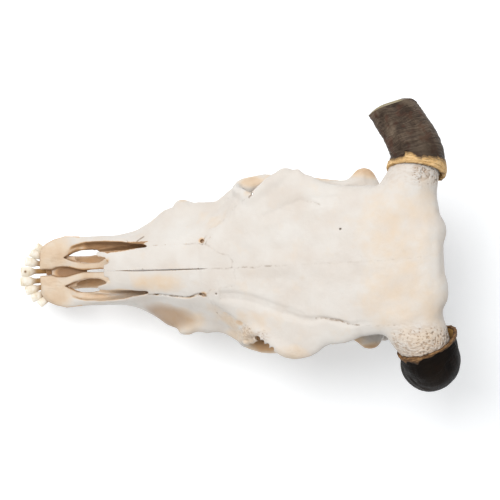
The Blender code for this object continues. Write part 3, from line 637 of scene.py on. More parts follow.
blend_block(skull, *nose_roof(), "join", 3)
plate_in(skull, NOSE_NOTCH, (130, 175), action="cut", blend=2)
plate_in(skull, LIP_PLATE, (87, 98))
rim = closed_curve(SOCKET_RIM, 8)
rim = np.vstack([rim, rim[:2]])
thickness = np.interp(rim[:, 0], *zip(*SOCKET_RIM_THICKNESS))
rim_rows = np.column_stack([rim, thickness, thickness])
shape_in(skull, loft_on_path(rim_rows, between=1), blend=9, both=True)
shape_in(skull, loft_on_path(CHEEK_RIDGE), blend=8)
inwards = np.interp([row[0] for row in CHEEK_RIDGE], *zip(*LEFT_ARCH_IN))
left_ridge = [(x, by - y, *sizes) for by, (x, y, *sizes) in zip(inwards, CHEEK_RIDGE)]
shape_in(skull, loft_on_path(left_ridge), blend=8)
eggs_in(skull, FACE_KNOB)
eggs_in(skull, LIP_SWELLINGS, blend=6)
plate_in(skull, LIP_HOLE, (70, 120), action="cut", blend=3)
plate_in(skull, LIP_FLOOR, (83, 89), blend=2)
plate_in(skull, NOSTRIL_FRONT, (90.5, 120), action="cut", blend=2)
plate_in(skull, NOSTRIL_SLOT, (70, 120), action="cut", blend=1.5)
eggs_in(skull, NOSE_KNOBS, blend=2)
shape_in(skull, loft_on_path(RIGHT_CORE), blend=8)
shape_in(skull, loft_on_path(LEFT_CORE), blend=8)
eggs_in(skull, LEFT_RIM_LUMPS, blend=2, both=False)
for place, size in RAGGED_EDGE:
    eggs_in(skull, [((*place, RAGGED_EDGE_Z), (size, size, 4))], "join", 1.5, both=False)
for place, size in EDGE_NICKS:
    shape_in(skull, channel([(*place, 205), (*place, 245)], size), "cut", 1)
print("rims and cores joined")

# %% [markdown]
# ## Fine marks in the bone
#
# Vessels and nerves leave their marks on the bone: a groove runs back over each eye from a slot in the
# forehead, a large hole opens on each cheek, and smaller ones lie in the forehead and beside the nose.
# Each is a thin tube or egg that is cut from the volume, laid along the surface that the volume has.

# %% Grooves and holes
RIGHT_BROW_GROOVE = [(309, 57), (325.7, 63.9), (343, 71), (367.3, 75), (399, 79)]
RIGHT_BROW_SLOT = [(366, 73.5), (374, 71), (381, 68.5)]
LEFT_BROW_GROOVE = [
    (251, -39), (280, -41), (309, -49.6), (329, -58), (350, -64.5), (377, -65), (413, -73),
    (462, -77),
]
LEFT_BROW_CRACK = [(371, -62.5), (388, -66), (400, -66.6), (412, -71.8)]
LEFT_NOSE_CRACK = [
    (160.5, -30.3), (180.5, -32.2), (199.1, -34.8), (217.8, -36.3), (231.8, -32.8), (239, -35.6),
]
LIP_SEAM = [(150, 31), (155, 36), (162, 41)]


def carve_groove(places, width, depth, blend=1.5):
    """A round groove of this width: the tube's middle stands so high that it cuts to the depth. It
    runs out at both ends, where the tube rises over the bone."""
    radius = (width**2 / 4 + depth**2) / (2 * depth)
    line = smooth_rows(on_top(skull, places), 3, 4)
    share = np.linspace(0, 1, len(line))
    line[:, 2] += radius - depth * (1.3 * np.sin(math.pi * share) ** 0.6 - 0.3)
    shape_in(skull, channel(line, radius), "cut", blend)


carve_groove(RIGHT_BROW_GROOVE, 11, 1.0, 3)
carve_groove(LEFT_BROW_GROOVE[:5], 12, 1.3, 3)
carve_groove(LEFT_BROW_GROOVE[3:], 6, 0.9)
carve_groove(RIGHT_BROW_SLOT, 3, 1.3)
carve_groove(LEFT_BROW_CRACK, 1.8, 2.2)
carve_groove(LEFT_NOSE_CRACK, 1.5, 2.4, 1)
carve_groove(LIP_SEAM, 1.3, 1.2, 1)
# Rows: x, y, radius and depth
SMALL_HOLES = [
    (403.8, 40, 1.4, 6),
    (236.8, 32.3, 2.0, 7),
    (252, -33, 1.2, 4),
    (236, -34, 1.8, 6),
    (232.5, -33, 1.5, 6),
]
for x, y, radius, depth in SMALL_HOLES:
    ((_, _, top),) = on_top(skull, [(x, y)])
    shape_in(skull, channel([(x, y, top + 4), (x - 0.5, y, top - depth)], radius), "cut", 1.0)
cheek_hole = [(165, 60, 119, 4, 4.5), (178, 54, 124, 4, 5), (194, 46, 128, 3, 4)]
shape_in(skull, loft_on_path(cheek_hole), "cut", 2, both=True)
print("marks carved")

# %% [markdown]
# ## From volume to bones
#
# A real skull is a puzzle of bones, joined along fine, crooked seams called sutures. The volume is
# parted along them: each bone keeps the voxels inside its own region, which reaches a hair over the
# seam, so that no light shows between neighbours. Only the nose bones gape. The seams that the
# photograph shows were measured, and a crooked line is added to them where the bones are interlocked.
# The surface of each bone is then drawn out as a net of small squares.

# %% Seams between bones
SEAM = -0.3  # the seams' width in millimetres: negative, since neighbours overlap a little
TURNS = 200
STEPS = np.random.default_rng(5).uniform(-1, 1, TURNS)
FINER = 2.6


def crooked(along, pitch, height):
    """A random line with a turn at every pitch, and a finer one on it, as interlocked bones run."""
    coarse = np.interp(along / pitch % (TURNS - 1), np.arange(TURNS), STEPS)
    fine = np.interp(along / pitch * FINER % (TURNS - 1), np.arange(TURNS), STEPS)
    return height * (coarse + 0.6 * fine)


def largest_of(*values):
    """The largest of several values at each place. Of distances, it is negative where all are."""
    return functools.reduce(np.maximum, values)


def middle_seam(x):
    """y of the seam between right and left bones."""
    places = (100, 145, 242, 268, 300, 337, 414, 444, 522)
    line = np.interp(x, places, (0, -0.9, -1.8, -2.2, -1.6, -0.7, 0.1, 0.2, 5))
    return line + crooked(x, 7, 0.9) * np.interp(x, (262, 272, 330, 420), (0, 1, 0.7, 0.3))


def middle_gap(x):
    """Width of that seam: it gapes between the nose bones."""
    places = (92, 104, 130, 146, 160, 175, 200, 232, 246)
    return np.interp(x, places, (SEAM, 0.5, 0.4, 1.7, 2.3, 1.5, 1.9, 1.2, SEAM))


def side_of_middle(side, x, y):
    """Distance past the middle seam, negative on this side."""
    return middle_gap(x) / 2 - side * (y - middle_seam(x))


# Each nose bone from above: x, and how far out from the middle. The side at the middle is drawn at 0.
NOSE_BONE = {
    1: [
        (90, 0), (90, 31), (150, 30.5), (168, 28.5), (205, 29.5), (241, 29), (253, 19), (268, 13),
        (273, 6), (268, 0),
    ],
    -1: [
        (90, 0), (90, 31), (160, 29.8), (181, 32), (199, 34.4), (218, 36), (232, 32.5), (241, 32),
        (247, 27), (274, 24), (276, 12), (268, 0),
    ],
}
PAST_MIDDLE = 40  # that side is drawn this far over, and the middle seam cuts the rest off
ROOF_START, ROOF_RISE = (105, 150), 0.383
NOSE_BONE_DEPTH = 15


def nose_bone(side, x, y, z):
    """The space of one nose bone: its outline from above, and a depth under the roof line."""
    outline = [(along, out - PAST_MIDDLE if out == 0 else out) for along, out in NOSE_BONE[side]]
    shift = crooked(x + y, 6, 0.6)
    edge = outline_distance(outline, x + 2 * shift * (x > 235), side * y + shift)
    roof = ROOF_START[1] + ROOF_RISE * (x - ROOF_START[0])
    return largest_of(edge, roof - NOSE_BONE_DEPTH - z, side * (middle_seam(x) - y))


# Slanting seams, seen from the side: a place x, z, the way that the seam faces, and that way's length
LIP_LINE = ((150, 160), (60, -52), 79.4)
ARCH_LINE = ((386, 185), (60, -28), 66.2)


def past_slant(line, x, z):
    """Signed distance past a slanting seam: from its place, along the way that it faces."""
    (x0, z0), (dx, dz), length = line
    return ((x - x0) * dx + (z - z0) * dz) / length


def behind_lip(x, y, z):
    """Signed distance behind the seam between the front upper bone and the cheek's bone."""
    return past_slant(LIP_LINE, x, z) + crooked(y + z, 8, 0.4)


def behind_cheek(x, y, z):
    """Distance behind the seam that runs out over the cheek and down behind the teeth."""
    line = np.interp(np.abs(y), (0, 30, 45, 60, 75, 90, 110), (236, 237, 246, 254, 262, 272, 284))
    line = line + 0.55 * np.maximum(185 - z, 0)
    return (x - line) * 0.85 + crooked(y * 1.3 + z, 9, 0.7)


def behind_tear_bone(x, y):
    """Distance behind the seam between the tear bone, at the eye's front, and the forehead."""
    line = np.interp(np.abs(y), (0, 31, 45, 64, 78, 90, 100, 130), (236, 241, 250, 273, 292, 300, 306, 318))
    return (x - line) * 0.7 + crooked(y * 1.2, 6, 1.1)


# The bar behind the eye: how far out it starts, its middle x, half its length and its lower end's z
EYE_BAR_OUT, EYE_BAR_X, EYE_BAR_HALF, EYE_BAR_Z = 95, 347, 16, 204


def above_temple(x, y, z):
    """Negative where the forehead bone is: over its lower edge, and in the bar behind the eye."""
    places = (236, 262, 285, 304, 322, 341, 357, 500)
    at_nape = smooth_step(x, 488, 500) * (1 - smooth_step(np.abs(y), 30, 52))
    edge = np.interp(x, places, (168, 177, 188, 203, 212, 216, 220, 231)) + 18 * at_nape
    bar = largest_of(EYE_BAR_OUT - np.abs(y), np.abs(x - EYE_BAR_X) - EYE_BAR_HALF, EYE_BAR_Z - z)
    return np.minimum(edge - z, bar)


CHEEKBONE_INNER, CHEEKBONE_LOW, CHEEKBONE_HIGH = 82, 138, 206


def cheekbone(x, y, z):
    """The cheekbone's space: a box, cut slantwise half way along the arch."""
    out = np.abs(y) + crooked(x, 8, 0.5)
    box = largest_of(CHEEKBONE_FRONT - x, CHEEKBONE_INNER - out, CHEEKBONE_LOW - z, z - CHEEKBONE_HIGH)
    return np.maximum(box, past_slant(ARCH_LINE, x, z))


# %% Surfaces
PRIMES = (73856093, 19349663, 83492791)
STIR, SEED_STEP, LARGEST = 1274126177, 40503, 65535


def cube_code(corner, seed):
    """A whole number for each cube of space: its corner's places times large primes, each laid over
    the others by exclusive or."""
    x, y, z = corner.T
    return (x * PRIMES[0]) ^ (y * PRIMES[1]) ^ (z * PRIMES[2]) ^ seed


def stirred(code):
    """The code with its digits mixed once more."""
    return (code ^ (code >> 13)) * STIR


def last_bits(code):
    """A number from 0 to LARGEST out of a code, as good as random."""
    return (code ^ (code >> 16)) & LARGEST


def corner_share(step, part):
    """How much a cube's corner counts at a place in the cube: the product of its shares per axis."""
    return np.prod(np.where(step, part, 1 - part), axis=1)


def lumps(points, size, seed):
    """Smooth random hills from -1 to 1: random heights at the corners of cubes, blended between."""
    place = points / size
    corner = np.floor(place).astype(np.int64)
    part = place - corner
    part = part * part * (3 - 2 * part)
    total = np.zeros(len(points))
    for step in np.ndindex(2, 2, 2):
        height = last_bits(stirred(cube_code(corner + step, seed * SEED_STEP))) / (LARGEST / 2) - 1
        total += height * corner_share(step, part)
    return total


def near(points, centre, radii):
    """1 at a place, falling to 0 at these distances from it, for painting a patch."""
    away = np.sqrt((((points - centre) / radii) ** 2).sum(1))
    return 1 - smooth_step(away, 0.35, 1)


def painted(points, patches, least=0.0):
    """The strongest patch at each point. Patches: centre, half sizes and strength."""
    value = np.full(len(points), least)
    for centre, radii, strength in patches:
        value = np.maximum(value, strength * near(points, centre, radii))
    return value


def unit(ways):
    """Ways brought to length 1."""
    return ways / (np.linalg.norm(ways, axis=1)[:, None] + 1e-12)


def crossed_diagonals(points, quads):
    """Each square's facing way, as long as twice its area."""
    return np.cross(points[quads[:, 2]] - points[quads[:, 0]], points[quads[:, 3]] - points[quads[:, 1]])


def normals_of(points, quads):
    """At each point the sum of its squares' crossed diagonals, brought to length 1."""
    corners, share = quads.ravel(), np.repeat(crossed_diagonals(points, quads), 4, axis=0)
    return unit(np.stack([np.bincount(corners, share[:, axis], len(points)) for axis in range(3)], 1))


def neighbour_mean(points, quads):
    """The mean of the points that share an edge with each point."""
    edges = np.vstack([quads[:, [0, 1]], quads[:, [1, 2]], quads[:, [2, 3]], quads[:, [3, 0]]])
    both = np.vstack([edges, edges[:, ::-1]])
    count = np.bincount(both[:, 0], minlength=len(points))
    values = points[both[:, 1]]
    summed = [np.bincount(both[:, 0], values[:, axis], len(points)) for axis in range(values.shape[1])]
    return np.stack(summed, 1) / np.maximum(count, 1)[:, None]


def largest_part(points, quads):
    """Keeps the biggest connected part: each point takes the lowest number among its neighbours
    until nothing changes."""
    label = np.arange(len(points))
    while True:
        lowest = label[quads].min(1)
        renewed = label.copy()
        np.minimum.at(renewed, quads.ravel(), np.repeat(lowest, 4))
        renewed = renewed[renewed]
        if (renewed == label).all():
            break
        label = renewed
    kept = label == np.bincount(label).argmax()
    index = np.cumsum(kept) - 1
    return points[kept], index[quads[kept[quads[:, 0]]]]


def surface_of(field, first):
    """The net of squares where the distance is nothing, facing outwards."""
    field = field.copy()
    for axis in range(3):
        ends = np.moveaxis(field, axis, 0)
        ends[0], ends[-1] = np.maximum(ends[0], GRAIN), np.maximum(ends[-1], GRAIN)
    grid = vdb.FloatGrid(float(FAR))
    grid.copyFromArray(field, ijk=tuple(int(i) for i in first))
    grid.transform = voxel_space
    points, quads = grid.convertToQuads(isovalue=0.0)
    points, quads = largest_part(points.astype(float), quads.astype(np.int64))
    outwards = (points[quads].mean(1) * crossed_diagonals(points, quads)).sum() > 0
    return points, quads if outwards else quads[:, ::-1]


# %% [markdown]
# ## Meshes for Blender
#
# The points go into a mesh as whole arrays, moved to the frame and turned to metres. Each piece also
# carries numbers at its points, such as how stained or shaded the bone is there, which the materials read.


# %% Make a piece
def add_piece(name, points, faces, marks, facing=None):
    """A mesh object at the origin, with its points in place, a number or a place at each point per
    mark and, where it is given, the way that the shading takes each point to face."""
    mesh = bpy.data.meshes.new(name)
    mesh.vertices.add(len(points))
    mesh.vertices.foreach_set("co", (points * MM + SHIFT).astype(np.float32).ravel())
    corners = np.concatenate([block.ravel() for block in faces]).astype(np.int32)
    sizes = np.concatenate([np.full(len(block), block.shape[1]) for block in faces])
    mesh.loops.add(len(corners))
    mesh.loops.foreach_set("vertex_index", corners)
    mesh.polygons.add(len(sizes))
    starts = np.concatenate([[0], np.cumsum(sizes)[:-1]]).astype(np.int32)
    mesh.polygons.foreach_set("loop_start", starts)
    mesh.polygons.foreach_set("use_smooth", np.ones(len(sizes), bool))
    mesh.update(calc_edges=True)
    for mark, values in marks.items():
        kind, field = ("FLOAT", "value") if np.ndim(values) == 1 else ("FLOAT_VECTOR", "vector")
        layer = mesh.attributes.new(mark, kind, "POINT")
        layer.data.foreach_set(field, np.asarray(values, np.float32).ravel())
    if mesh.validate():
        print(name, "had faults that Blender mended")
    elif facing is not None:
        mesh.normals_split_custom_set_from_vertices(facing.tolist())
    piece = bpy.data.objects.new(name, mesh)
    bpy.context.scene.collection.objects.link(piece)
    return piece


# %% [markdown]
# ## Life in the bone
#
# Cleaned bone is never even. It has low hills a centimetre across and finer grain over them. Round the
# horn cores, where the horn was held, it is full of coarse pits, with grooves that fan out from them.
# Fat and marrow leave tan stains where the bone is thin or thick with vessels: inside the nose, round
# the eyes, on the cheek arches and at the jaw joints. Shade is painted in too: deep in the nose, in
# hollows, on the left side, which faces away from the lamp, and on the jaw under the snout.

# %% Relief and stains
# Rows: x and y of each horn core's end, and how far towards the middle it is rough
CORE_ENDS = [(496, 104, 28), (502, -102, 38)]
CORE_INNER_END = 60  # no roughness further in than this
# Hills in the bone: height, size and seed
HILLS = [(0.55, 17, 1), (0.22, 7, 2), (0.1, 3.1, 3)]
PIT_SIZE, PIT_DEPTH = 3.6, 2.1
FURROW_DEPTH = 0.6
# Patches here and below: centre, half sizes and strength
ROUGH_PATCHES = [
    ((40, 12, 98), (26, 20, 14), 0.4),
    ((40, -14, 98), (24, 18, 14), 0.4),
    ((306, -86, 226), (15, 13, 14), 0.7),
    ((288, -84, 208), (18, 15, 24), 0.9),
    ((268, -72, 200), (26, 16, 22), 0.35),
    ((352, -106, 232), (30, 12, 18), 0.35),
    ((425, -98, 190), (28, 14, 16), 0.3),
]


def pits(points, size, seed):
    """1 at the middle of random dents and 0 between them: nearness to one random place per cube."""
    cell = np.floor(points / size).astype(np.int64)
    nearest = np.full(len(points), np.inf)
    for step in np.ndindex(3, 3, 3):
        corner = cell + np.array(step) - 1
        code = cube_code(corner, seed)
        spots = []
        for _ in range(3):
            code = stirred(code)
            spots.append(last_bits(code) / LARGEST)
        away = np.linalg.norm(points / size - corner - np.stack(spots, 1), axis=1)
        nearest = np.minimum(nearest, away)
    return 1 - smooth_step(nearest, 0.1, 0.42)


def rough_mask(points):
    """1 round the horn cores' ends, where the horn was held to the bone, and less at the patches."""
    mask = np.zeros(len(points))
    for x, y, reach in CORE_ENDS:
        side = np.sign(y)
        by_end = 1 - smooth_step((y - points[:, 1]) * side, 2, reach)
        beside = smooth_step(-np.abs(points[:, 0] - x), -48, -38)
        mask = np.maximum(mask, by_end * beside * (points[:, 1] * side > CORE_INNER_END))
    mask *= np.where(points[:, 1] > 0, 0.3 + 0.7 * smooth_step(points[:, 0], 484, 498), 1)
    return np.maximum(mask, painted(points, ROUGH_PATCHES))


def weathered(points, normals):
    """Moves the points along their normals by the hills, the grain and the pits, in millimetres."""
    hills = sum(height * lumps(points, size, seed) for height, size, seed in HILLS)
    rough = rough_mask(points)
    ridged = rough > 0.01
    depth = np.zeros(len(points))
    place = points[ridged]
    place = place + 3 * lumps(place, 9, 7)[:, None]
    share = 0.25 + 0.75 * smooth_step(place[:, 0], 484, 500)
    depth[ridged] = PIT_DEPTH * pits(place, PIT_SIZE, 5) * smooth_step(rough[ridged], 0.3, 0.7) * share
    depth[ridged] += FURROW_DEPTH * np.abs(lumps(place * (0.12, 0.42, 0.42), 1, 6)) * rough[ridged]
    return points + normals * (hills - depth)[:, None], rough, depth


# Tan patches, the same on both sides, and painted shade over the rear of the skull
STAINS_AND_SHADE = [
    ((440, 108, 190), (24, 16, 16), 0.8),
    ((395, 104, 186), (44, 9, 16), 0.45),
    ((300, 104, 174), (26, 12, 24), 0.5),
    ((330, 108, 178), (22, 9, 24), 0.4),
    ((313, 82, 196), (30, 26, 26), 0.75),
    ((303, 88, 214), (16, 12, 14), 0.4),
    ((213, 82, 150), (9, 8, 8), 0.4),
    ((34, 24, 96), (46, 42, 20), 0.5),
    ((135, 27, 155), (42, 6, 12), 0.6),
    # The rear of the skull: a warmer tone, and painted shade where the light falls off
    ((470, 40, 285), (80, 80, 34), 0.24),
    ((70, 10, 98), (40, 14, 12), 0.3),
    ((117, 14, 153), (6, 5, 6), 0.5),
    ((236, 33, 196), (6, 5, 8), 0.9),
    ((254, 60, 192), (30, 20, 16), 0.22),
    ((455, 60, 170), (50, 50, 40), 0.3),
    ((496, 96, 262), (34, 14, 32), 0.3),
]
# Painted shade: on the left cheek, which faces away from the lamp, and inside the hole in the nape
PAINTED_SHADES = [
    ((188, -60, 150), (64, 26, 34), 1.3),
    ((484, 0, 180), (32, 21, 20), 1.6),
]
# Tan patches on the left side only, and painted shade on the left cheek and the nose bone's side, which face
# away from the lamp
LEFT_STAINS_AND_SHADE = [
    ((268, -68, 192), (26, 20, 18), 0.45),
    ((262, -58, 196), (8, 4, 7), 0.5),
    # The left cheek: a brown tone and painted shade
    ((205, -62, 150), (66, 30, 34), 0.45),
    ((278, -69.5, 205), (15, 5, 9), 0.6),
    ((290, -84, 210), (22, 16, 24), 0.4),
    ((281, -86, 192), (16, 16, 20), 0.42),
    ((292, -92, 204), (18, 12, 16), 0.42),
    ((300, -70, 218), (60, 26, 30), 0.2),
    # The left nose bone's side: painted shade
    ((185, -18, 180), (80, 16, 20), 0.42),
    ((270, -88, 180), (24, 16, 22), 0.4),
    ((348, -107, 232), (36, 16, 22), 0.38),
    ((310, -92, 180), (30, 30, 36), 1.15),
    ((414, -96, 188), (40, 18, 20), 0.75),
    ((496, -96, 268), (40, 36, 36), 0.36),
]


# The nose from within: how far out it reaches, and from where to where along x
NOSE_INNER_OUT, NOSE_INNER_START, NOSE_INNER_END = 40, 60, 250
# Painted shade in the deep pocket between the front bones: centre, half sizes and strength
LIP_POCKET_SHADE = ((62, -1, 88), (30, 12, 10), 2.2)
LIP_EDGE_END = 76
GAP_HALF, GAP_START, GAP_END = 4, 122, 246


def right_wall_painted_shade(points, inward):
    """Painted shade on the nose's right wall, which faces away from the lamp: brown below its upper edge, and
    not where it faces out.
    """
    edge = np.array([(x, z + 10) for x, _, z, _, _ in NOSE_WALL_HOLLOWS[0]])
    hollow_top = np.interp(points[:, 0], *edge.T)
    there = (points[:, 1] > 20) & (points[:, 1] < 38) & (points[:, 2] < hollow_top)
    there = there * smooth_step(points[:, 0], 72, 86)
    return there * np.maximum(smooth_step(inward, -0.3, 0.1), points[:, 1] < 35) * 1.4


def stain_and_shade_at(points, normals):
    """How tan or shaded the bone is, from 0 to 1.5: the patches above, tan inside the nose, and painted shade
    deep in the nose, on walls that face down or away from the lamp, and in its pockets and gaps.
    """
    x, y, z = points.T
    folded = points * (1, 0, 1) + np.abs(points) * (0, 1, 0)
    roof = ROOF_START[1] + ROOF_RISE * (x - ROOF_START[0])
    inside = (folded[:, 1] < NOSE_INNER_OUT) & (z < roof + 2) & (x > NOSE_INNER_START) & (x < NOSE_INNER_END)
    inward = -normals[:, 1] * np.sign(y)
    sideways = smooth_step(-normals[:, 2], -0.8, -0.3)
    nose_gap_stain_and_shade = (np.abs(y - middle_seam(x)) < GAP_HALF) & (x > GAP_START) & (x < GAP_END)
    stain_and_shade = largest_of(
        painted(folded, STAINS_AND_SHADE),
        painted(points, LEFT_STAINS_AND_SHADE),
        # Tan on the nose's inner walls, and painted shade on the right ones, which face away from the lamp
        inside * smooth_step(inward, 0.05, 0.5) * np.where(y > 0, 1.0, 0.5),
        inside * right_wall_painted_shade(points, inward),
        # The pocket between the front bones: painted shade
        painted(points, [LIP_POCKET_SHADE]),
        sideways * (x < LIP_EDGE_END) * 0.85,
        # The gap between the nose bones: brown walls, and painted shade in its depth
        nose_gap_stain_and_shade * np.maximum(sideways, z < roof - 8) * 1.3,
        # Painted shade under the nose's overhangs and deep inside it
        inside * smooth_step(-normals[:, 2], 0.1, 0.6) * 0.7,
        inside * smooth_step(roof - 30 - z, 0, 12) * 0.5,
    )
    return np.clip(stain_and_shade + 0.1 * lumps(points, 22, 8), 0, 1.5)


# Rows: x, and how far the right and the left side of the skull lie off to the right there
LEAN = [
    (20, -0.8, -0.8), (100, 0, 0), (140, 0.6, -0.3), (162, 1.4, -0.8), (185, 1.8, -0.6),
    (205, 1.2, -0.2), (220, 0.3, 2.0), (236, 0.3, -2.0), (255, 0.3, -2.0), (268, 2.2, -0.2),
    (285, 3.4, 1.0), (305, 2, -0.4), (318, 2, 0), (329, 0, 0.5), (339, 1.4, 1.2), (350, 0.6, -1.0),
    (357, 3.2, -2.6), (364, 0.6, -4.3), (372, 2.3, -3.6), (380, 1.6, -1.6), (388, 0.4, -1.6),
    (396, 0, -3.2), (404, 0, -3.8), (414, 0, -2.4), (424, 0.6, 0.6), (440, 2, 1), (470, 0, 0),
    (540, 0, 0),
]


def leant(points):
    """No skull is even: its sides, but not its middle, are moved a little along y."""
    x, y, _ = points.T
    places, right, left = np.array(LEAN).T
    shift = np.where(y > 0, np.interp(x, places, right), np.interp(x, places, left))
    return points + (shift * smooth_step(np.abs(y), 30, 80))[:, None] * (0, 1, 0)


# Where the seams show in the photograph: centre, half sizes, and how dark they are there
SEAM_MARKS = [
    ((305, -2, 228), (50, 14, 30), 0.75),
    ((400, 0, 265), (90, 8, 30), 0.2),
    ((200, -34, 180), (70, 12, 40), 1.0),
    ((232, 30, 195), (30, 12, 30), 0.5),
    ((262, 0, 212), (24, 34, 20), 0.45),
    ((262, -60, 200), (40, 40, 40), 0.2),
]
FAINT_SEAM = 0.02  # how dark seams are elsewhere: most have grown together

# Cracks painted on the bone: points on plan, and how dark
CRACKS = [
    (LEFT_NOSE_CRACK, 1.6),
    ([(371, -62.9), (388, -66), (400, -66.6), (412, -71.8), (424, -75.5)], 1.3),
    ([(424, -75.5), (440, -77), (462, -76.5)], 0.6),
    ([(366, 73.8), (374, 71), (381, 68.5)], 1.0),
    (LIP_SEAM, 1.2),
    ([(296, 80.5), (300.4, 85.5)], 1.6),
]


def crack_mark(points, normals):
    """1 along the cracks' lines where the bone faces up, falling to 0 within 1.2 mm."""
    x, y = points[:, 0], points[:, 1]
    mark = np.zeros(len(points))
    for line, dark in CRACKS:
        away = np.full(len(points), np.inf)
        for (x0, y0), (x1, y1) in zip(line, line[1:]):
            dx, dy = x1 - x0, y1 - y0
            along = np.clip(((x - x0) * dx + (y - y0) * dy) / (dx * dx + dy * dy), 0, 1)
            away = np.minimum(away, np.hypot(x - x0 - along * dx, y - y0 - along * dy))
        mark = np.maximum(mark, dark * (1 - smooth_step(away, 0.2, 1.2)))
    return mark * (normals[:, 2] > 0.2)


# %% Part the upper skull into its bones
# The tear bones lie this far out at least, and this high
TEAR_BONE_OUT, TEAR_BONE_Z = 20, 150


def own_space(name, side, x, y, z):
    """A bone's region, negative inside: the space that is on its side of all the seams round it."""
    half = SEAM / 2
    middle = side_of_middle(side, x, y)
    noses = {each: nose_bone(each, x, y, z) for each in (1, -1)}
    no_nose = half - np.minimum(noses[1], noses[-1])
    lip, cheek, arch = behind_lip(x, y, z), behind_cheek(x, y, z), cheekbone(x, y, z)
    tear, temple = behind_tear_bone(x, y), above_temple(x, y, z)
    edges = {
        "nasal": lambda: (middle, noses[side] + half),
        "premaxilla": lambda: (middle, lip + half, no_nose),
        "maxilla": lambda: (middle, cheek + half, half - lip, no_nose, half - arch),
        "zygomatic": lambda: (arch + half, -side * y),
        "lacrimal": lambda: (
            half - cheek, tear + half, no_nose, half - arch, TEAR_BONE_OUT - side * y, TEAR_BONE_Z - z
        ),
        "frontal": lambda: (middle, half - tear, temple + half, no_nose, half - arch),
        "braincase": lambda: (
            half - cheek,
            half - arch,
            no_nose,
            half - largest_of(-cheek, tear, TEAR_BONE_OUT - np.abs(y), TEAR_BONE_Z - z),
            half - np.maximum(-tear, temple),
        ),
    }
    return largest_of(*edges[name]())


SIDES = ((1, "right"), (-1, "left"))
# The right bones: name, and two corners of a box that holds the bone
BONES = [
    ("nasal", (95, -8, 110), (285, 45, 230)),
    ("premaxilla", (14, -6, 78), (190, 60, 180)),
    ("maxilla", (60, -6, 78), (330, 112, 235)),
    ("zygomatic", (250, 60, 130), (420, 130, 215)),
    ("lacrimal", (225, 12, 140), (330, 125, 245)),
    ("frontal", (225, -12, 150), (536, 130, 302)),
]
BRAINCASE_SPAN = ((225, -130, 100), (536, 130, 262))
EDGE_REACH = 0.6 * GRAIN  # a point this close to a surface still counts as lying on it
DEEP_BEND = 0.25  # millimetres: a point this far under its neighbours lies in a full hollow


def skull_at(points):
    """The volume's distance at any place, blended between the eight voxels round it."""
    place = points / GRAIN - skull["first"]
    corner = np.clip(np.floor(place).astype(int), 0, np.array(skull["field"].shape) - 2)
    part = place - corner
    total = np.zeros(len(points))
    for step in np.ndindex(2, 2, 2):
        i, j, k = (corner + step).T
        total += skull["field"][i, j, k] * corner_share(step, part)
    return total


def slope_of(distance, points, step=0.3):
    """How fast a distance grows along x, y and z."""
    moves = np.eye(3) * step
    return np.stack([(distance(points + move) - distance(points - move)) / (2 * step) for move in moves], 1)


def to_seam_edge(points, space_at):
    """Moves the points along a seam onto the bone's surface and onto the seam, by Newton's steps
    p - f * slope / |slope|^2 for each in turn, so that the bones meet in a line and not in a valley."""
    at_edge = (np.abs(skull_at(points)) < EDGE_REACH) & (np.abs(space_at(points)) < EDGE_REACH)
    start = points[at_edge]
    moved = start.copy()
    for _ in range(3):
        for distance in (space_at, skull_at):
            slope = slope_of(distance, moved)
            step = distance(moved) / np.maximum((slope**2).sum(1), 0.2)
            moved = start + np.clip(moved - step[:, None] * slope - start, -GRAIN, GRAIN)
    points[at_edge] = moved
    return at_edge


def facing_at_edge(points, quads, inner, at_edge):
    """The ways that the points face, those at a seam like their neighbours on the outside, so that
    the shading runs on from bone to bone."""
    facing = normals_of(points, quads)
    from_inner = neighbour_mean(np.column_stack([facing * inner[:, None], inner]), quads)[:, :3]
    lengths = np.linalg.norm(from_inner, axis=1)
    settled = at_edge & (lengths > 1e-6)
    facing[settled] = from_inner[settled] / lengths[settled][:, None]
    return facing


def part_bone(name, side, low, high):
    """One bone's points and squares, weathered, with its marks and the way each point faces."""
    if side < 0:
        low, high = (low[0], -high[1], low[2]), (high[0], -low[1], high[2])
    space_at = lambda points: own_space(name, side, *points.T)
    there, x, y, z = part_of(skull, low, high)
    first = skull["first"] + [part.start for part in there]
    field = np.maximum(skull["field"][there], own_space(name, side, x, y, z)).astype(np.float32)
    points, quads = surface_of(field, first)
    at_edge = to_seam_edge(points, space_at)
    outside = np.abs(skull_at(points)) < EDGE_REACH
    seam = outside * (1 - smooth_step(-space_at(points), 0.3, 1.5)) * painted(points, SEAM_MARKS, FAINT_SEAM)
    normals = normals_of(points, quads)
    surface_slope = slope_of(skull_at, points[at_edge])
    normals[at_edge] = surface_slope / (np.linalg.norm(surface_slope, axis=1)[:, None] + TINY)
    seam = np.maximum(seam, crack_mark(points, normals))
    points, rough, depth = weathered(points, normals)
    points = leant(points)
    facing = facing_at_edge(points, quads, outside & ~at_edge, at_edge)
    # The hollow mark: how deep each point lies in a hollow or pit, which the material browns as dirt and
    # painted shade; the patches of painted shade are laid over it
    bend = ((neighbour_mean(points, quads) - points) * facing).sum(1) * ~at_edge
    hollow = np.clip(bend / DEEP_BEND + depth, -1, 1.6)
    marks = {
        "stain_and_shade": stain_and_shade_at(points, facing),
        "rough": rough,
        "hollow": np.maximum(hollow, painted(points, PAINTED_SHADES)),
        "seam": seam,
    }
    return points, [quads], marks, facing


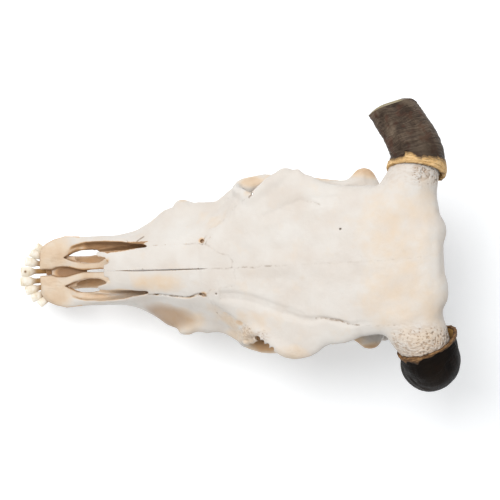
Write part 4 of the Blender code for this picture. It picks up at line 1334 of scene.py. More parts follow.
CAD_NODES = {"lacrimal": "cranium", "frontal": "cranium"}
pieces = []
for name, low, high in BONES:
    for side, word in SIDES:
        piece = add_piece(f"{name}_bone_{word}", *part_bone(name, side, low, high))
        node = CAD_NODES.get(name, f"{name}_{word}")
        pieces.append((piece, node, "snout_bone" if name == "premaxilla" else "cleaned_bone"))
        print(piece.name, len(piece.data.polygons), "squares")
piece = add_piece("braincase", *part_bone("braincase", 1, *BRAINCASE_SPAN))
pieces.append((piece, "cranium", "cleaned_bone"))
print(piece.name, len(piece.data.polygons), "squares")

# %% [markdown]
# ## The lower jaw
#
# Each half of the lower jaw is a long beam that bends up into a flat branch behind the teeth. The
# branch ends in two tips: the thin front one rises behind the eye, and the rear one carries the joint.
# The half is made as a volume once. The other half is its mirror image, and both are turned a little
# about the joints, because the jaw lies slightly askew under the skull. Their relief is worked out
# after that turn, so that right and left still differ.

# %% Tables of the lower jaw
JAW_YAW = math.radians(0.6)
JAW_BEND = 2.0  # how far the jaw's narrow part behind the front teeth bends back to the right
JAW_HINGE = np.array((430, 0, 0))
JAW_BODY = [
    (28, 9, 8.5, 70, 82, 2.4),
    (42, 11.5, 11, 55, 79, 2.5),
    (62, 11.2, 10.4, 41, 72, 2.6),
    (82, 12, 9.4, 33, 63, 2.7),
    (106, 17, 8, 26, 58, 2.8),
    (134, 25.5, 8, 17, 58, 2.8),
    (164, 36, 9, 8, 67, 2.8),
    (196, 42, 10.5, 1, 76, 2.9),
    (232, 47, 11.5, -2, 82, 3.0),
    (272, 52, 12, -2, 86, 3.0),
    (310, 57, 11, -2, 92, 3.0),
    (338, 61, 8, -1, 102, 3.0),
]
JAW_BRANCH = [
    (312, -2), (314, 84), (330, 104), (344, 138), (355, 170), (366, 200), (379, 222), (392, 232),
    (400, 230), (398, 214), (396, 194), (402, 178), (414, 167), (436, 164), (434, 150), (427, 122),
    (430, 88), (438, 58), (436, 32), (424, 12), (404, 2), (372, -2),
]
BRANCH_THICKNESS = 8.5
BRANCH_EDGE, BRANCH_TIP_THINNER = 1.2, 1.6  # added to half of it at its edges, and taken off at the tips
JAW_HEAD = [((429, 81, 167), (9, 21, 9))]
JAW_HEAD_NECK = [(424, 71, 138, 8, 5), (427, 76, 156, 8, 9), (429, 79, 166, 7, 13)]


def branch_middle(x, z):
    """y of the branch's middle: it leans outwards, upwards and to the rear."""
    return 61 + 0.07 * (x - 330) + 0.06 * (z - 40)


# %% Shape half of it
jaw = empty_volume((-8, -4, -8), (448, 112, 242))
shape_in(jaw, loft_along_x(JAW_BODY))
there, x, y, z = part_of(jaw, (300, 40, -8), (448, 112, 242))
edge = outline_distance(closed_curve(JAW_BRANCH, 4), x, z)
thicker_edge = BRANCH_EDGE * smooth_step(-edge, 14, 2) * (z < 190)
leaf = BRANCH_THICKNESS / 2 + thicker_edge - BRANCH_TIP_THINNER * smooth_step(z, 120, 230)
face = np.abs(y - branch_middle(x, z)) - leaf
plate = -smooth_min(-edge, -face, 5)
jaw["field"][there] = smooth_min(jaw["field"][there], plate.astype(np.float32), 8)
eggs_in(jaw, JAW_HEAD, both=False)
shape_in(jaw, loft_on_path(JAW_HEAD_NECK), blend=6)
chin_hole = [(66, 30, 54, 3, 2.5), (74, 22, 53, 3.5, 2.6), (84, 16, 50, 3, 2)]
shape_in(jaw, loft_on_path(chin_hole), "cut", 2)
inner_hole = [(380, 56, 118, 4, 6), (392, 64, 106, 4, 6), (398, 68, 98, 2, 3)]
shape_in(jaw, loft_on_path(inner_hole), "cut", 2)
_, y, z = axes_of(jaw)
jaw["field"] = np.maximum(jaw["field"], np.maximum(SEAM / 2 - y, -z)).astype(np.float32)
jaw_points, jaw_quads = surface_of(jaw["field"], jaw["first"])
print("half a jaw", len(jaw_quads), "squares")


# %% Both halves in place
def on_jaw(points, side):
    """The right half's points moved to a side: mirrored for the left, then turned about the joints."""
    placed = np.asarray(points, float) * (1, side, 1) - JAW_HINGE
    behind_teeth = placed[..., 0] + JAW_HINGE[0]
    placed[..., 1] += JAW_BEND * smooth_step(behind_teeth, 40, 66) * smooth_step(-behind_teeth, -190, -110)
    sine, cosine = math.sin(JAW_YAW), math.cos(JAW_YAW)
    x, y, z = np.moveaxis(placed, -1, 0)
    return np.stack([x * cosine - y * sine, x * sine + y * cosine, z], -1) + JAW_HINGE


# Tan patches on the jaw, and painted shade where it lies under the nose's floor
JAW_STAINS_AND_SHADE = [
    ((30, 8, 80), (36, 22, 18), 0.75),
    # Painted shade on the jaw under the slits in the nose's floor
    ((84, 12, 62), (46, 20, 22), 0.7),
    ((230, 50, 84), (120, 20, 14), 0.45),
    ((430, 82, 168), (20, 30, 16), 0.5),
    ((424, 70, 20), (40, 20, 40), 0.4),
    ((392, 76, 225), (14, 14, 22), 0.35),
]


def jaw_side(side, word):
    """One half's mesh, weathered, standing flat on the table."""
    points = on_jaw(jaw_points, side)
    quads = jaw_quads if side > 0 else jaw_quads[:, ::-1]
    own = points * (1, side, 1)
    points, _, _ = weathered(points, normals_of(points, quads))
    points[:, 2] = np.maximum(points[:, 2], 0)
    bend = ((neighbour_mean(points, quads) - points) * normals_of(points, quads)).sum(1)
    none = np.zeros(len(points))
    marks = {
        "stain_and_shade": np.clip(painted(own, JAW_STAINS_AND_SHADE) + 0.12 + 0.15 * lumps(points, 26, 9), 0, 1.5),
        "rough": none,
        # Brown in the jaw's hollows: dirt and painted shade
        "hollow": np.clip(bend / DEEP_BEND, -1, 1),
        "seam": none,
    }
    pieces.append((add_piece(f"jaw_{word}", points, [quads], marks), f"mandible_{word}", "jaw_bone"))


for side, word in SIDES:
    jaw_side(side, word)
print("jaw made")

# %% [markdown]
# ## Teeth
#
# A cow grinds with six tall teeth a side above and below. Each is a column with two pillars on its
# outer face, and its worn end has a raised rim of hard enamel round softer dentine. The eight front
# teeth stand only in the lower jaw: flat ivory shovels on thin round necks, fanned out like fingers.

# %% Cheek teeth
UPPER_TEETH = [
    (170, 183, 44, 6.5),
    (184, 200, 48, 8),
    (201, 218, 51.5, 9.5),
    (219, 240, 54, 10.5),
    (241, 267, 56, 11),
    (268, 297, 56.5, 10.5),
]
LOWER_TEETH = [
    (169, 180, 39, 4.5),
    (181, 197, 42.5, 5.5),
    (198, 215, 45, 6.5),
    (216, 236, 48, 7.5),
    (237, 262, 51, 8),
    (263, 297, 53.5, 8),
]
BITE_Z, BITE_GAP, UPPER_ROOT_Z, LOWER_ROOT_Z = 95, 0.05, 128, 56
PILLARS = [
    (0.02, -0.72), (0.25, -0.95), (0.5, -0.86), (0.75, -0.95), (0.98, -0.72), (0.98, 0.6),
    (0.86, 0.93), (0.7, 0.9), (0.5, 0.68), (0.32, 0.9), (0.16, 0.93), (0.02, 0.6),
]
# Rows: how far in from the tooth's side, and how far below the enamel's rim
WORN_END = [
    (1.0, 1.6), (0.99, 0.5), (0.95, 0.0), (0.88, 0.1), (0.8, 1.1), (0.62, 1.5), (0.45, 0.5),
    (0.3, 0.6), (0.12, 1.4),
]
TOOTH_GAP = 0.5
CROWN_EDGE = 1.6  # the worn end begins this far below the bite


def cheek_tooth(front, back, y, half, root_z, bite_z):
    """The pillared outline carried from root to bite, then drawn in over the worn end."""
    loop = closed_curve(PILLARS, 5)
    length = back - front - TOOTH_GAP
    flat = np.column_stack([front + TOOTH_GAP / 2 + length * loop[:, 0], y + half * loop[:, 1]])
    centre = flat.mean(0)
    way = np.sign(bite_z - root_z)
    rings = []
    for share in np.linspace(0, 1, 16):
        swell = 0.9 + 0.1 * math.sin(math.pi * (0.15 + 0.7 * share))
        z = root_z + (bite_z - root_z - way * CROWN_EDGE) * share
        rings.append(np.column_stack([centre + (flat - centre) * swell, np.full(len(flat), z)]))
    last = rings.pop()[:, :2]
    for share, down in WORN_END:
        drawn_in = centre + (last - centre) * share
        rings.append(np.column_stack([drawn_in, np.full(len(flat), bite_z - way * down)]))
    return np.array(rings)


def joined(skins):
    """Several skins as one, with the later ones' corners counted on."""
    points, quads, triangles, count = [], [], [], 0
    for some_points, some_quads, some_triangles in skins:
        points.append(some_points)
        quads.append(some_quads + count)
        triangles.append(some_triangles + count)
        count += len(some_points)
    return np.vstack(points), np.vstack(quads), np.vstack(triangles)


def outward(skin):
    """The skin with its faces turned outwards: its enclosed volume comes out positive."""
    points, quads, triangles = skin
    corners = np.vstack([quads[:, :3], quads[:, [0, 2, 3]], triangles])
    a, b, c = (points[corners[:, i]] for i in range(3))
    if (a * np.cross(b, c)).sum() < 0:
        return points, quads[:, ::-1], triangles[:, ::-1]
    return skin


def tooth_row(name, table, root_z, bite_z, node, slot, place):
    """All cheek teeth of one side above or below, as one piece."""
    skins = []
    for front, back, y, half in table:
        points, quads, triangles = skin_over(cheek_tooth(front, back, y, half, root_z, bite_z))
        points = place(points)
        points = points + 0.25 * lumps(points * (1, 1, 0.25), 3, 11)[:, None] * (0, 1, 0)
        skins.append(outward((points, quads, triangles)))
    points, quads, triangles = joined(skins)
    from_bite = np.abs(points[:, 2] - bite_z)
    dentine = 1 - smooth_step(np.abs(from_bite - 1.3), 0, 0.9)
    marks = {"neck": smooth_step(from_bite, 8, 26), "dentine": dentine}
    pieces.append((add_piece(name, points, [quads, triangles], marks), node, slot))


for side, word in SIDES:
    above = lambda points, side=side: leant(points * (1, side, 1))
    below = lambda points, side=side: on_jaw(points, side)
    upper = (UPPER_TEETH, UPPER_ROOT_Z, BITE_Z + BITE_GAP, f"maxilla_{word}", "cleaned_bone", above)
    lower = (LOWER_TEETH, LOWER_ROOT_Z, BITE_Z - BITE_GAP, f"mandible_{word}", "jaw_bone", below)
    tooth_row(f"upper_teeth_{word}", *upper)
    tooth_row(f"lower_teeth_{word}", *lower)
print(len(UPPER_TEETH), "upper and", len(LOWER_TEETH), "lower cheek teeth a side")

# %% Front teeth
# Rows: tip x, tip y, root x, root y, half width, and how far it is turned on its neck, in degrees
FRONT_TEETH = {
    1: [
        (-3.6, 6.6, 40, 6, 6.3, 4),
        (2.6, 20.4, 42, 10.5, 6.0, -7),
        (10.5, 31.3, 43, 14, 5.5, 9),
        (18.2, 39.4, 45, 17, 5.2, -4),
    ],
    -1: [
        (-4.4, 6.2, 40, 6, 6.4, -3),
        (1.6, 18.6, 42, 10.5, 5.9, 6),
        (9, 29, 43, 14, 5.4, -8),
        (18.4, 36.6, 45, 17, 5.2, 3),
    ],
}
# Rows: share of the way to the tip, z, half width (0 is the neck's and 1 the crown's), thickness
SHOVEL = [
    (0.0, 66, 0.0, 3.0),
    (0.3, 73, 0.0, 2.9),
    (0.55, 79.5, 0.0, 2.8),
    (0.63, 82, 0.15, 2.9),
    (0.68, 83.6, 0.6, 3.2),
    (0.74, 85.4, 0.92, 3.3),
    (0.84, 87.8, 1.0, 2.9),
    (0.93, 89.6, 0.96, 2.2),
    (0.98, 90.5, 0.8, 1.4),
    (1.0, 90.7, 0.5, 0.6),
]
NECK_HALF = 3.4
TOOTH_RISE = 25.0  # how far a front tooth rises from root to tip
TOOTH_DISH = 0.5  # how far its crown is dished
TOOTH_EDGE = 0.4  # the least half thickness
# The worn, brown middle of the first right tooth's crown
WORN_SPOT = ((2.5, 2.2, 91), (2.2, 2.4, 6))


def front_tooth(tip_x, tip_y, root_x, root_y, half, turn):
    """An oval section carried up the neck, spread out into the flat crown and closed at its edge."""
    rows = smooth_rows(SHOVEL, 2, 5)
    share, z, spread, thick = rows.T
    x = root_x + (tip_x - root_x) * share
    y = root_y + (tip_y - root_y) * share
    width = NECK_HALF + (half - NECK_HALF) * np.clip(spread, 0, 1)
    around = np.linspace(0, 2 * math.pi, 36, endpoint=False)
    across, upward = np.cos(around), np.sin(around)
    ahead = np.array((tip_x - root_x, tip_y - root_y, TOOTH_RISE))
    ahead /= np.linalg.norm(ahead)
    side = np.cross(ahead, (0, 0, 1))
    side /= np.linalg.norm(side)
    lift = np.cross(side, ahead)
    sine, cosine = math.sin(math.radians(turn)), math.cos(math.radians(turn))
    side, lift = side * cosine + lift * sine, lift * cosine - side * sine
    dish = -TOOTH_DISH * np.clip(spread, 0, 1)[:, None] * across**2
    thickness = np.maximum(thick, TOOTH_EDGE)[:, None] * upward + dish
    return rings_on(np.stack([x, y, z], 1), side, lift, width[:, None] * across, thickness)


for side, word in SIDES:
    skins, neck = [], []
    for row in FRONT_TEETH[side]:
        points, quads, triangles = skin_over(front_tooth(*row))
        neck.append(1 - smooth_step((row[2] - points[:, 0]) / (row[2] - row[0]), 0.52, 0.72))
        points = on_jaw(points, side)
        skins.append(outward((points, quads, triangles)))
    points, quads, triangles = joined(skins)
    marks = {"neck": np.concatenate(neck), "dentine": np.zeros(len(points))}
    if side > 0:
        marks["dentine"] = near(points, *WORN_SPOT)
    piece = add_piece(f"front_teeth_{word}", points, [quads, triangles], marks)
    pieces.append((piece, f"mandible_{word}", "jaw_bone"))
print("front teeth made")

# %% [markdown]
# ## Horns
#
# Horn grows from its foot, a ring a year with many finer ones between, and fibres run along it. The
# sheath is a thick tube over the bone's core, sawn straight through. It is drawn as one skin: up the
# inside of the socket, over the foot's lip, along the outside in rings, and across the sawn end.

# %% Horn tables
RIGHT_HORN = [
    (494, 90, 263, 35.3, 31.3),
    (496.5, 105, 263, 34.8, 31),
    (498.5, 116, 263, 33.8, 30.5),
    (497, 130, 265, 32.3, 29.5),
    (491.5, 144, 267.5, 30.9, 28.5),
    (480.5, 163, 271.5, 29.4, 27),
    (470.5, 178.5, 274.5, 28.5, 26.5),
    (459.5, 196, 277, 27.8, 26),
    (447, 214, 280, 27, 25.5),
]
LEFT_HORN = [
    (500, -90, 264, 35.8, 32.5),
    (502, -101, 262, 36, 33),
    (504, -112, 259, 35.9, 34),
    (508.3, -121.5, 250, 34.6, 34.7),
    (506.2, -126.3, 234, 33.4, 34.6),
    (505.4, -128.5, 214, 32, 32.4),
    (504.4, -130, 195, 29.6, 30),
    (503, -130.5, 178, 27.5, 27),
]
# Where each horn begins, and where it was sawn off or its corners are worn: a point, and the way out
RIGHT_FOOT = ((497, 106, 263), (-17, -96, 25))
LEFT_FOOT = ((500, -100.5, 262), (-36, 93, 36))
RIGHT_CUTS = [
    ((470, 186.8, 279), (-28, 96, 11)),
    ((449, 179.5, 279), (-68, 73, 4)),
    ((495, 190, 268), (55, 83, 6)),
]
LEFT_CUTS = [((501, -128, 193), (-22, -4, -96))]
HORN_ROUND = 30  # radius in millimetres of the circle on which patterns round a horn are laid
# The sheath's wall: how far from the foot, and how thick it is there. The last one closes the socket.
SHEATH_WALL = ((0, 1.5), (6, 2.5), (16, 5), (26, 24))
# Shares of the sawn end's rings, from its edge to its middle
SAWN_SHARES = np.linspace(0.98, 0.04, 24)
WEATHERED_END = (466, 484)  # the sawn end grows as dark as the outside between these places


def carried_sides(path):
    """A side way and a lift for each place, carried along the path with no twist: each is the last
    one made square to the path again."""
    ahead = np.gradient(path, axis=0)
    ahead /= np.linalg.norm(ahead, axis=1)[:, None]
    side = [np.cross(ahead[0], (0, 0, 1))]
    for way in ahead[1:]:
        side.append(side[-1] - way * (side[-1] @ way))
    side = np.array(side)
    side /= np.linalg.norm(side, axis=1)[:, None]
    return side, np.cross(side, ahead)


def past_planes(points, planes):
    """How far outside of the planes each point is: the largest distance, rounded where two are close."""
    total = None
    for place, way in planes:
        way = np.array(way, float)
        depth = (points - np.array(place)) @ (way / np.linalg.norm(way))
        total = depth if total is None else -smooth_min(-total, -depth, 5)
    return total


def crossing(depth):
    """The first place, in steps along a line, where the depth passes nothing."""
    last = np.argmax(depth > 0)
    return last - 1 + depth[last - 1] / (depth[last - 1] - depth[last])


def horn_columns(table, foot, cuts, sides, rings):
    """The smooth outside: lines along the horn, each begun at the foot's plane, ended where the saw
    cut it and then divided evenly. Gives rings of points, each ring's distance along the horn and its
    middle."""
    rows = smooth_rows(table, 3, 24)
    side, lift = carried_sides(rows[:, :3])
    around = np.linspace(0, 2 * math.pi, sides, endpoint=False)
    across, upward = np.cos(around) * rows[:, 3:4], np.sin(around) * rows[:, 4:5]
    tube = rings_on(rows[:, :3], side, lift, across, upward)
    share = np.linspace(0, 1, rings)
    columns = []
    for line in np.moveaxis(tube, 1, 0):
        start, end = crossing(-past_planes(line, [foot])), crossing(past_planes(line, cuts))
        at = start + share * (end - start)
        columns.append(np.stack([np.interp(at, np.arange(len(line)), line[:, axis]) for axis in range(3)], 1))
    shaped = np.stack(columns, 1)
    middle = shaped.mean(1)
    along = np.concatenate([[0], np.cumsum(np.linalg.norm(np.diff(middle, axis=0), axis=1))])
    return shaped, along, middle, around


def horn_relief(flat, seed):
    """Rings round the horn, fibres along it, and flakes that have come off, in millimetres."""
    coarse, fine = lumps(flat * (0.05, 0.05, 1), 5.5, seed), lumps(flat * (0.08, 0.08, 1), 2.4, seed + 1)
    fibres = lumps(flat * (1, 1, 0.06), 2.2, seed + 2)
    flakes = np.maximum(lumps(flat * (0.4, 0.4, 1), 5, seed + 3) - 0.35, 0)
    return 0.42 * (1.3 * coarse + 0.7 * fine) + 0.16 * fibres - 0.9 * flakes


def socket_rings(outside, along):
    """The inside of the sheath, from its blind end out to its foot: the outside's rings drawn in by
    the wall's thickness."""
    inner = []
    for step in np.linspace(SHEATH_WALL[-1][0], 0, 14):
        ring = float(np.interp(step, along, np.arange(len(along))))
        low = int(ring)
        ring_points = outside[low] + (outside[min(low + 1, len(along) - 1)] - outside[low]) * (ring - low)
        ring_middle = ring_points.mean(0)
        away = ring_points - ring_middle
        thickness = np.interp(step, *zip(*SHEATH_WALL))
        inner.append(ring_middle + away * (1 - thickness / np.linalg.norm(away, axis=1))[:, None])
    return inner


def sawn_rings(edge, cuts, seed):
    """The sawn end: its edge drawn in to the middle, laid on the planes of the cuts and scratched."""
    middle = edge.mean(0)
    normal = np.array(cuts[0][1], float) / np.linalg.norm(cuts[0][1])
    end = []
    for share in SAWN_SHARES:
        ring = middle + (edge - middle) * share
        for _ in range(4):
            ring = ring - normal * past_planes(ring, cuts)[:, None]
        scratched = 0.15 * lumps(ring * (1, 1, 6), 2, seed) + 0.1
        end.append(ring - normal * scratched[:, None])
    return end


def sheath(table, foot, cuts, seed, sides=220, rings=230):
    """The horn's closed skin, and for each point its place round and along the horn."""
    outside, along, middle, around = horn_columns(table, foot, cuts, sides, rings)
    out = outside - middle[:, None]
    reach = np.linalg.norm(out, axis=2)
    out /= reach[:, :, None]
    circle = np.cos(around) * HORN_ROUND, np.sin(around) * HORN_ROUND
    grid = np.stack(np.broadcast_arrays(*circle, along[:, None]), 2)
    relief = horn_relief(grid.reshape(-1, 3), seed).reshape(reach.shape) - 0.6
    relief *= smooth_step(along, 0, 3)[:, None] * smooth_step(along[-1] - along, 0, 2)[:, None]
    outside = outside + out * relief[:, :, None]
    inner, end = socket_rings(outside, along), sawn_rings(outside[-1], cuts, seed + 4)
    loops = np.concatenate([inner, outside, end])
    way_inside = np.broadcast_to(grid[:1], (len(inner), sides, 3))
    way_over_end = np.broadcast_to(grid[-1:], (len(end), sides, 3)) + (0, 0, 1)
    way = np.concatenate([way_inside, grid, way_over_end])
    way = np.vstack([way.reshape(-1, 3), way[0].mean(0), way[-1].mean(0)])
    sawn = np.zeros(loops.shape[:2])
    sawn[-len(end) :] = SAWN_SHARES[:, None]
    ragged = loops[..., 0] + 5 * lumps(loops.reshape(-1, 3), 7, seed + 5).reshape(sawn.shape)
    sawn *= 1 - smooth_step(ragged, *WEATHERED_END)
    sawn[: len(inner)] = -1
    sawn = np.concatenate([sawn.ravel(), [-1, SAWN_SHARES[-1]]])
    return skin_over(loops), {"way": way, "sawn": sawn}, (outside, along, around)


def skin_round(rings):
    """A tube bent back on itself: quads join each ring to the next, and the last one to the first."""
    count, sides = rings.shape[:2]
    ring = np.arange(count)[:, None] * sides
    next_ring = (np.arange(count)[:, None] + 1) % count * sides
    corner = np.arange(sides)[None]
    after = (corner + 1) % sides
    quads = np.stack([ring + corner, ring + after, next_ring + after, next_ring + corner], 2)
    return rings.reshape(-1, 3), quads.reshape(-1, 4), np.zeros((0, 3), int)


# %% [markdown]
# Round each horn's foot clings what is left of the skin: a fibrous, tan-yellow band with ragged edges.
# It is broadest at the right horn's back, and a mere fringe on the left horn.


# %% Horns and their bands
def ragged_band(outside, along, around, width, drop, seed):
    """A band over the sheath's first rings: its outer side is pushed out by fibres, and its far edge
    lies at a ragged distance along the horn."""
    column = np.arange(len(around))
    circle = np.stack([np.cos(around) * HORN_ROUND, np.sin(around) * HORN_ROUND, around * 0], 1)
    far_edge = width(around) + 1.6 * lumps(circle, 6, seed) + 0.9 * lumps(circle, 2.2, seed + 1)
    near_edge = 0.8 * lumps(circle, 4, seed + 2) - drop(around)
    before_foot = (outside[0] - outside[2]) / (along[2] - along[0])
    outer, inner, places = [], [], []
    shares = np.linspace(0, 1, 22)
    for share in shares:
        at = near_edge + (far_edge - near_edge) * share
        ring = np.interp(np.maximum(at, 0), along, np.arange(len(along)))
        low = np.minimum(ring.astype(int), len(along) - 2)
        step = outside[low + 1, column] - outside[low, column]
        spot = outside[low, column] + step * (ring - low)[:, None]
        spot = spot + before_foot * np.maximum(-at, 0)[:, None]
        out = spot - spot.mean(0)
        out /= np.linalg.norm(out, axis=1)[:, None]
        place = np.column_stack([circle[:, :2], at])
        bulge = 1.1 * math.sin(math.pi * min(0.12 + share * 0.88, 0.97)) ** 0.6
        fibre = 0.55 * lumps(place * (0.25, 0.25, 1), 1.4, seed + 3) + 0.35 * lumps(place, 3, seed + 4)
        outer.append(spot + out * (bulge + fibre + 0.25)[:, None])
        inner.append(spot - out * (1.2 + 2.3 * (1 - share) ** 6))
        places.append(place)
    way = np.concatenate([places, places[::-1]]).reshape(-1, 3)
    share = np.repeat([*shares, *shares[::-1]], len(around))
    return skin_round(np.array(outer + inner[::-1])), {"way": way, "share": share}


def right_width(around):
    """How far the right band reaches up the horn."""
    return 10.6 + 9.5 * smooth_step(-np.cos(around), 0.0, 0.5) - 1.5 * smooth_step(np.cos(around), 0.3, 1.0)


def right_drop(around):
    """How far it hangs down towards the skull: further at the back."""
    return 0.8 + 2.0 * smooth_step(np.cos(around), 0.55, 1.0)


def left_width(around):
    """How far the left band reaches up the horn."""
    return 3.2 + 1.0 * np.sin(3 * around) + 0.7 * np.sin(7 * around)


def left_drop(around):
    """How far it hangs down towards the skull."""
    return 0.8 + 2.5 * smooth_step(-np.cos(around), 0.6, 1.0)


for word, table, foot, cuts, width, drop, seed, slot in (
    ("right", RIGHT_HORN, RIGHT_FOOT, RIGHT_CUTS, right_width, right_drop, 31, "brown_horn"),
    ("left", LEFT_HORN, LEFT_FOOT, LEFT_CUTS, left_width, left_drop, 61, "black_horn"),
):
    skin, marks, tube = sheath(table, foot, cuts, seed)
    points, quads, triangles = outward(skin)
    pieces.append((add_piece(f"horn_sheath_{word}", points, [quads, triangles], marks), f"horn_{word}", slot))
    skin, marks = ragged_band(*tube, width, drop, seed + 10)
    points, quads, triangles = outward(skin)
    pieces.append((add_piece(f"horn_band_{word}", points, [quads], marks), f"horn_{word}", slot))
print("horns made")

# %% [markdown]
# ## Finishes
#
# Every finish is a small net of shader nodes. A helper makes a node and sets or links its inputs, so
# that each material below reads like a list. Patterns are laid on Object coordinates, which are metres
# in the frame, or on the marks that the pieces carry.


# %% Node helpers
def new_look(name, roughness, specular=0.4):
    """A material with one shader, as rough and as shiny as given."""
    look = bpy.data.materials.new(name)
    look.use_nodes = True
    shader = look.node_tree.nodes["Principled BSDF"]
    shader.inputs["Roughness"].default_value = roughness
    shader.inputs["Specular IOR Level"].default_value = specular
    return look


def node(look, kind, inputs, output=0, **settings):
    """Adds a node. An input is a value to set, or another node's output to link. Gives its output."""
    made = look.node_tree.nodes.new("ShaderNode" + kind)
    for key, value in settings.items():
        setattr(made, key, value)
    for key, value in inputs.items():
        if isinstance(value, bpy.types.NodeSocket):
            look.node_tree.links.new(value, made.inputs[key])
        else:
            made.inputs[key].default_value = value
    return made.outputs[output]


def mixed(look, factor, a, b):
    """Colour a where the factor is 0 and b where it is 1. A Mix node's colours are inputs 6 and 7."""
    return node(look, "Mix", {0: factor, 6: a, 7: b}, output=2, data_type="RGBA")


def ramp(look, value, stops):
    """A colour for each value, between the stops' (place, colour)."""
    made = look.node_tree.nodes.new("ShaderNodeValToRGB")
    look.node_tree.links.new(value, made.inputs[0])
    elements = made.color_ramp.elements
    while len(elements) < len(stops):
        elements.new(0.5)
    for element, (place, colour) in zip(elements, stops):
        element.position = place
        element.color = colour
    return made.outputs[0]


def maths(look, operation, *values):
    """A sum with numbers or other nodes' outputs, in the order in which the Math node takes them."""
    return node(look, "Math", dict(enumerate(values)), operation=operation)


def mark(look, name):
    """The number of that name that the piece carries at its points."""
    return node(look, "Attribute", {}, output="Fac", attribute_name=name)


def noise(look, scale, detail=3, vector=None, roughness=0.5):
    """Random hills, this many to the metre."""
    place = vector or node(look, "TexCoord", {}, output="Object")
    inputs = {"Vector": place, "Scale": scale, "Detail": detail, "Roughness": roughness}
    return node(look, "TexNoise", inputs)


def spread(look, value, low, high, start=0.0, end=1.0):
    """The value between low and high, spread out from start to end and held there outside."""
    inputs = {"Value": value, "From Min": low, "From Max": high, "To Min": start, "To Max": end}
    return node(look, "MapRange", inputs)


def finish_with(look, colour, height, depth, rough=None):
    """Links the colour, a bump of this depth in metres and, where given, the roughness to the shader."""
    shader = look.node_tree.nodes["Principled BSDF"]
    links = look.node_tree.links
    links.new(colour, shader.inputs["Base Color"])
    bump = node(look, "Bump", {"Height": height, "Distance": depth, "Strength": 1.0}, output="Normal")
    links.new(bump, shader.inputs["Normal"])
    if rough is not None:
        links.new(rough, shader.inputs["Roughness"])


# %% [markdown]
# Bone is an ivory white with a faint pink, in soft clouds of two tones, and it is matt. Its stains go
# through cream and tan to brown, and the same colours paint shade where it falls on the skull. The
# brown also settles in hollows, as dirt and as painted shade, and in seams. A fine grain of pores is
# only a bump, too small to be modelled.

# %% Bone
IVORY = (0.67, 0.635, 0.59, 1)
PINK_IVORY = (0.62, 0.56, 0.5, 1)
CREAM = (0.68, 0.545, 0.405, 1)
TAN = (0.54, 0.33, 0.17, 1)
# The brown of the deepest stains and of painted shade
STAIN_AND_SHADE_BROWN = (0.26, 0.14, 0.065, 1)
SEAM_BROWN = (0.2, 0.125, 0.07, 1)
FURROW = (0.42, 0.28, 0.17, 1)
REAR, REAR_BLEND = 0.236, 0.012  # x behind which the cores' grooves run along y, and how softly
SWIRL = (0.012, 0.012, 0.012)  # how far the grooves' pattern is bent, in metres


def bone_look(name, stain_more=0.0):
    """Ivory clouds, then stains and painted shade, dirt and painted shade in the hollows, dark seams, then
    the grooves of the rough bone.
    """
    look = new_look(name, 0.55)
    clouds = spread(look, noise(look, 26, 4), 0.35, 0.7)
    colour = mixed(look, clouds, IVORY, PINK_IVORY)
    patchy = maths(look, "SUBTRACT", noise(look, 70, 5), 0.5)
    stain_and_shade = maths(look, "MULTIPLY_ADD", patchy, 0.55, mark(look, "stain_and_shade"))
    stain_and_shade = spread(look, stain_and_shade, 0.06 - stain_more, 1.5, 0.0, 1.5)
    colour = mixed(look, spread(look, stain_and_shade, 0.0, 0.45), colour, CREAM)
    colour = mixed(look, spread(look, stain_and_shade, 0.4, 0.95), colour, TAN)
    colour = mixed(look, spread(look, stain_and_shade, 0.95, 1.5, 0.0, 0.85), colour, STAIN_AND_SHADE_BROWN)
    # Brown in the hollows: dirt, and painted shade in hollows, pits and shaded patches
    dirt_and_shade = spread(look, mark(look, "hollow"), 0.25, 1.5, 0.0, 0.72)
    colour = mixed(look, dirt_and_shade, colour, STAIN_AND_SHADE_BROWN)
    broken = spread(look, noise(look, 160, 4), 0.42, 0.62)
    line = maths(look, "MULTIPLY", mark(look, "seam"), broken)
    colour = mixed(look, spread(look, line, 0.0, 1.0, 0.0, 0.75), colour, SEAM_BROWN)
    grain = maths(look, "MULTIPLY_ADD", noise(look, 420, 6), 0.7, noise(look, 1500, 3))
    place = node(look, "TexCoord", {}, output="Object")
    swirl = node(look, "TexNoise", {"Vector": place, "Scale": 60.0, "Detail": 2.0}, output="Color")
    strands = []
    for stretch in ((0.25, 1.0, 1.0), (1.0, 0.3, 1.0)):
        drawn_out = node(look, "Mapping", {"Vector": place, "Scale": stretch})
        bent = node(look, "VectorMath", {0: swirl, 1: SWIRL, 2: drawn_out}, operation="MULTIPLY_ADD")
        strands.append(noise(look, 330, 4, bent))
    rear = spread(look, node(look, "SeparateXYZ", {"Vector": place}), REAR, REAR + REAR_BLEND)
    strand = node(look, "Mix", {"Factor": rear, "A": strands[0], "B": strands[1]})
    ridges = maths(look, "MULTIPLY", strand, 6.5)
    coarse = maths(look, "MULTIPLY_ADD", ridges, mark(look, "rough"), grain)
    furrow = maths(look, "MULTIPLY", spread(look, strand, 0.5, 0.4), mark(look, "rough"))
    colour = mixed(look, spread(look, furrow, 0.0, 1.0, 0.0, 0.5), colour, FURROW)
    finish_with(look, colour, coarse, 0.00035, spread(look, noise(look, 300, 3), 0.3, 0.7, 0.48, 0.66))
    return look


# %% [markdown]
# Teeth are ivory-yellow and a little shiny, and their necks are stained ochre-brown where the gum was.
# Horn is darker and glossier: its rings and fibres run with the horn, so its pattern is laid on the
# place round and along the horn that each point carries.

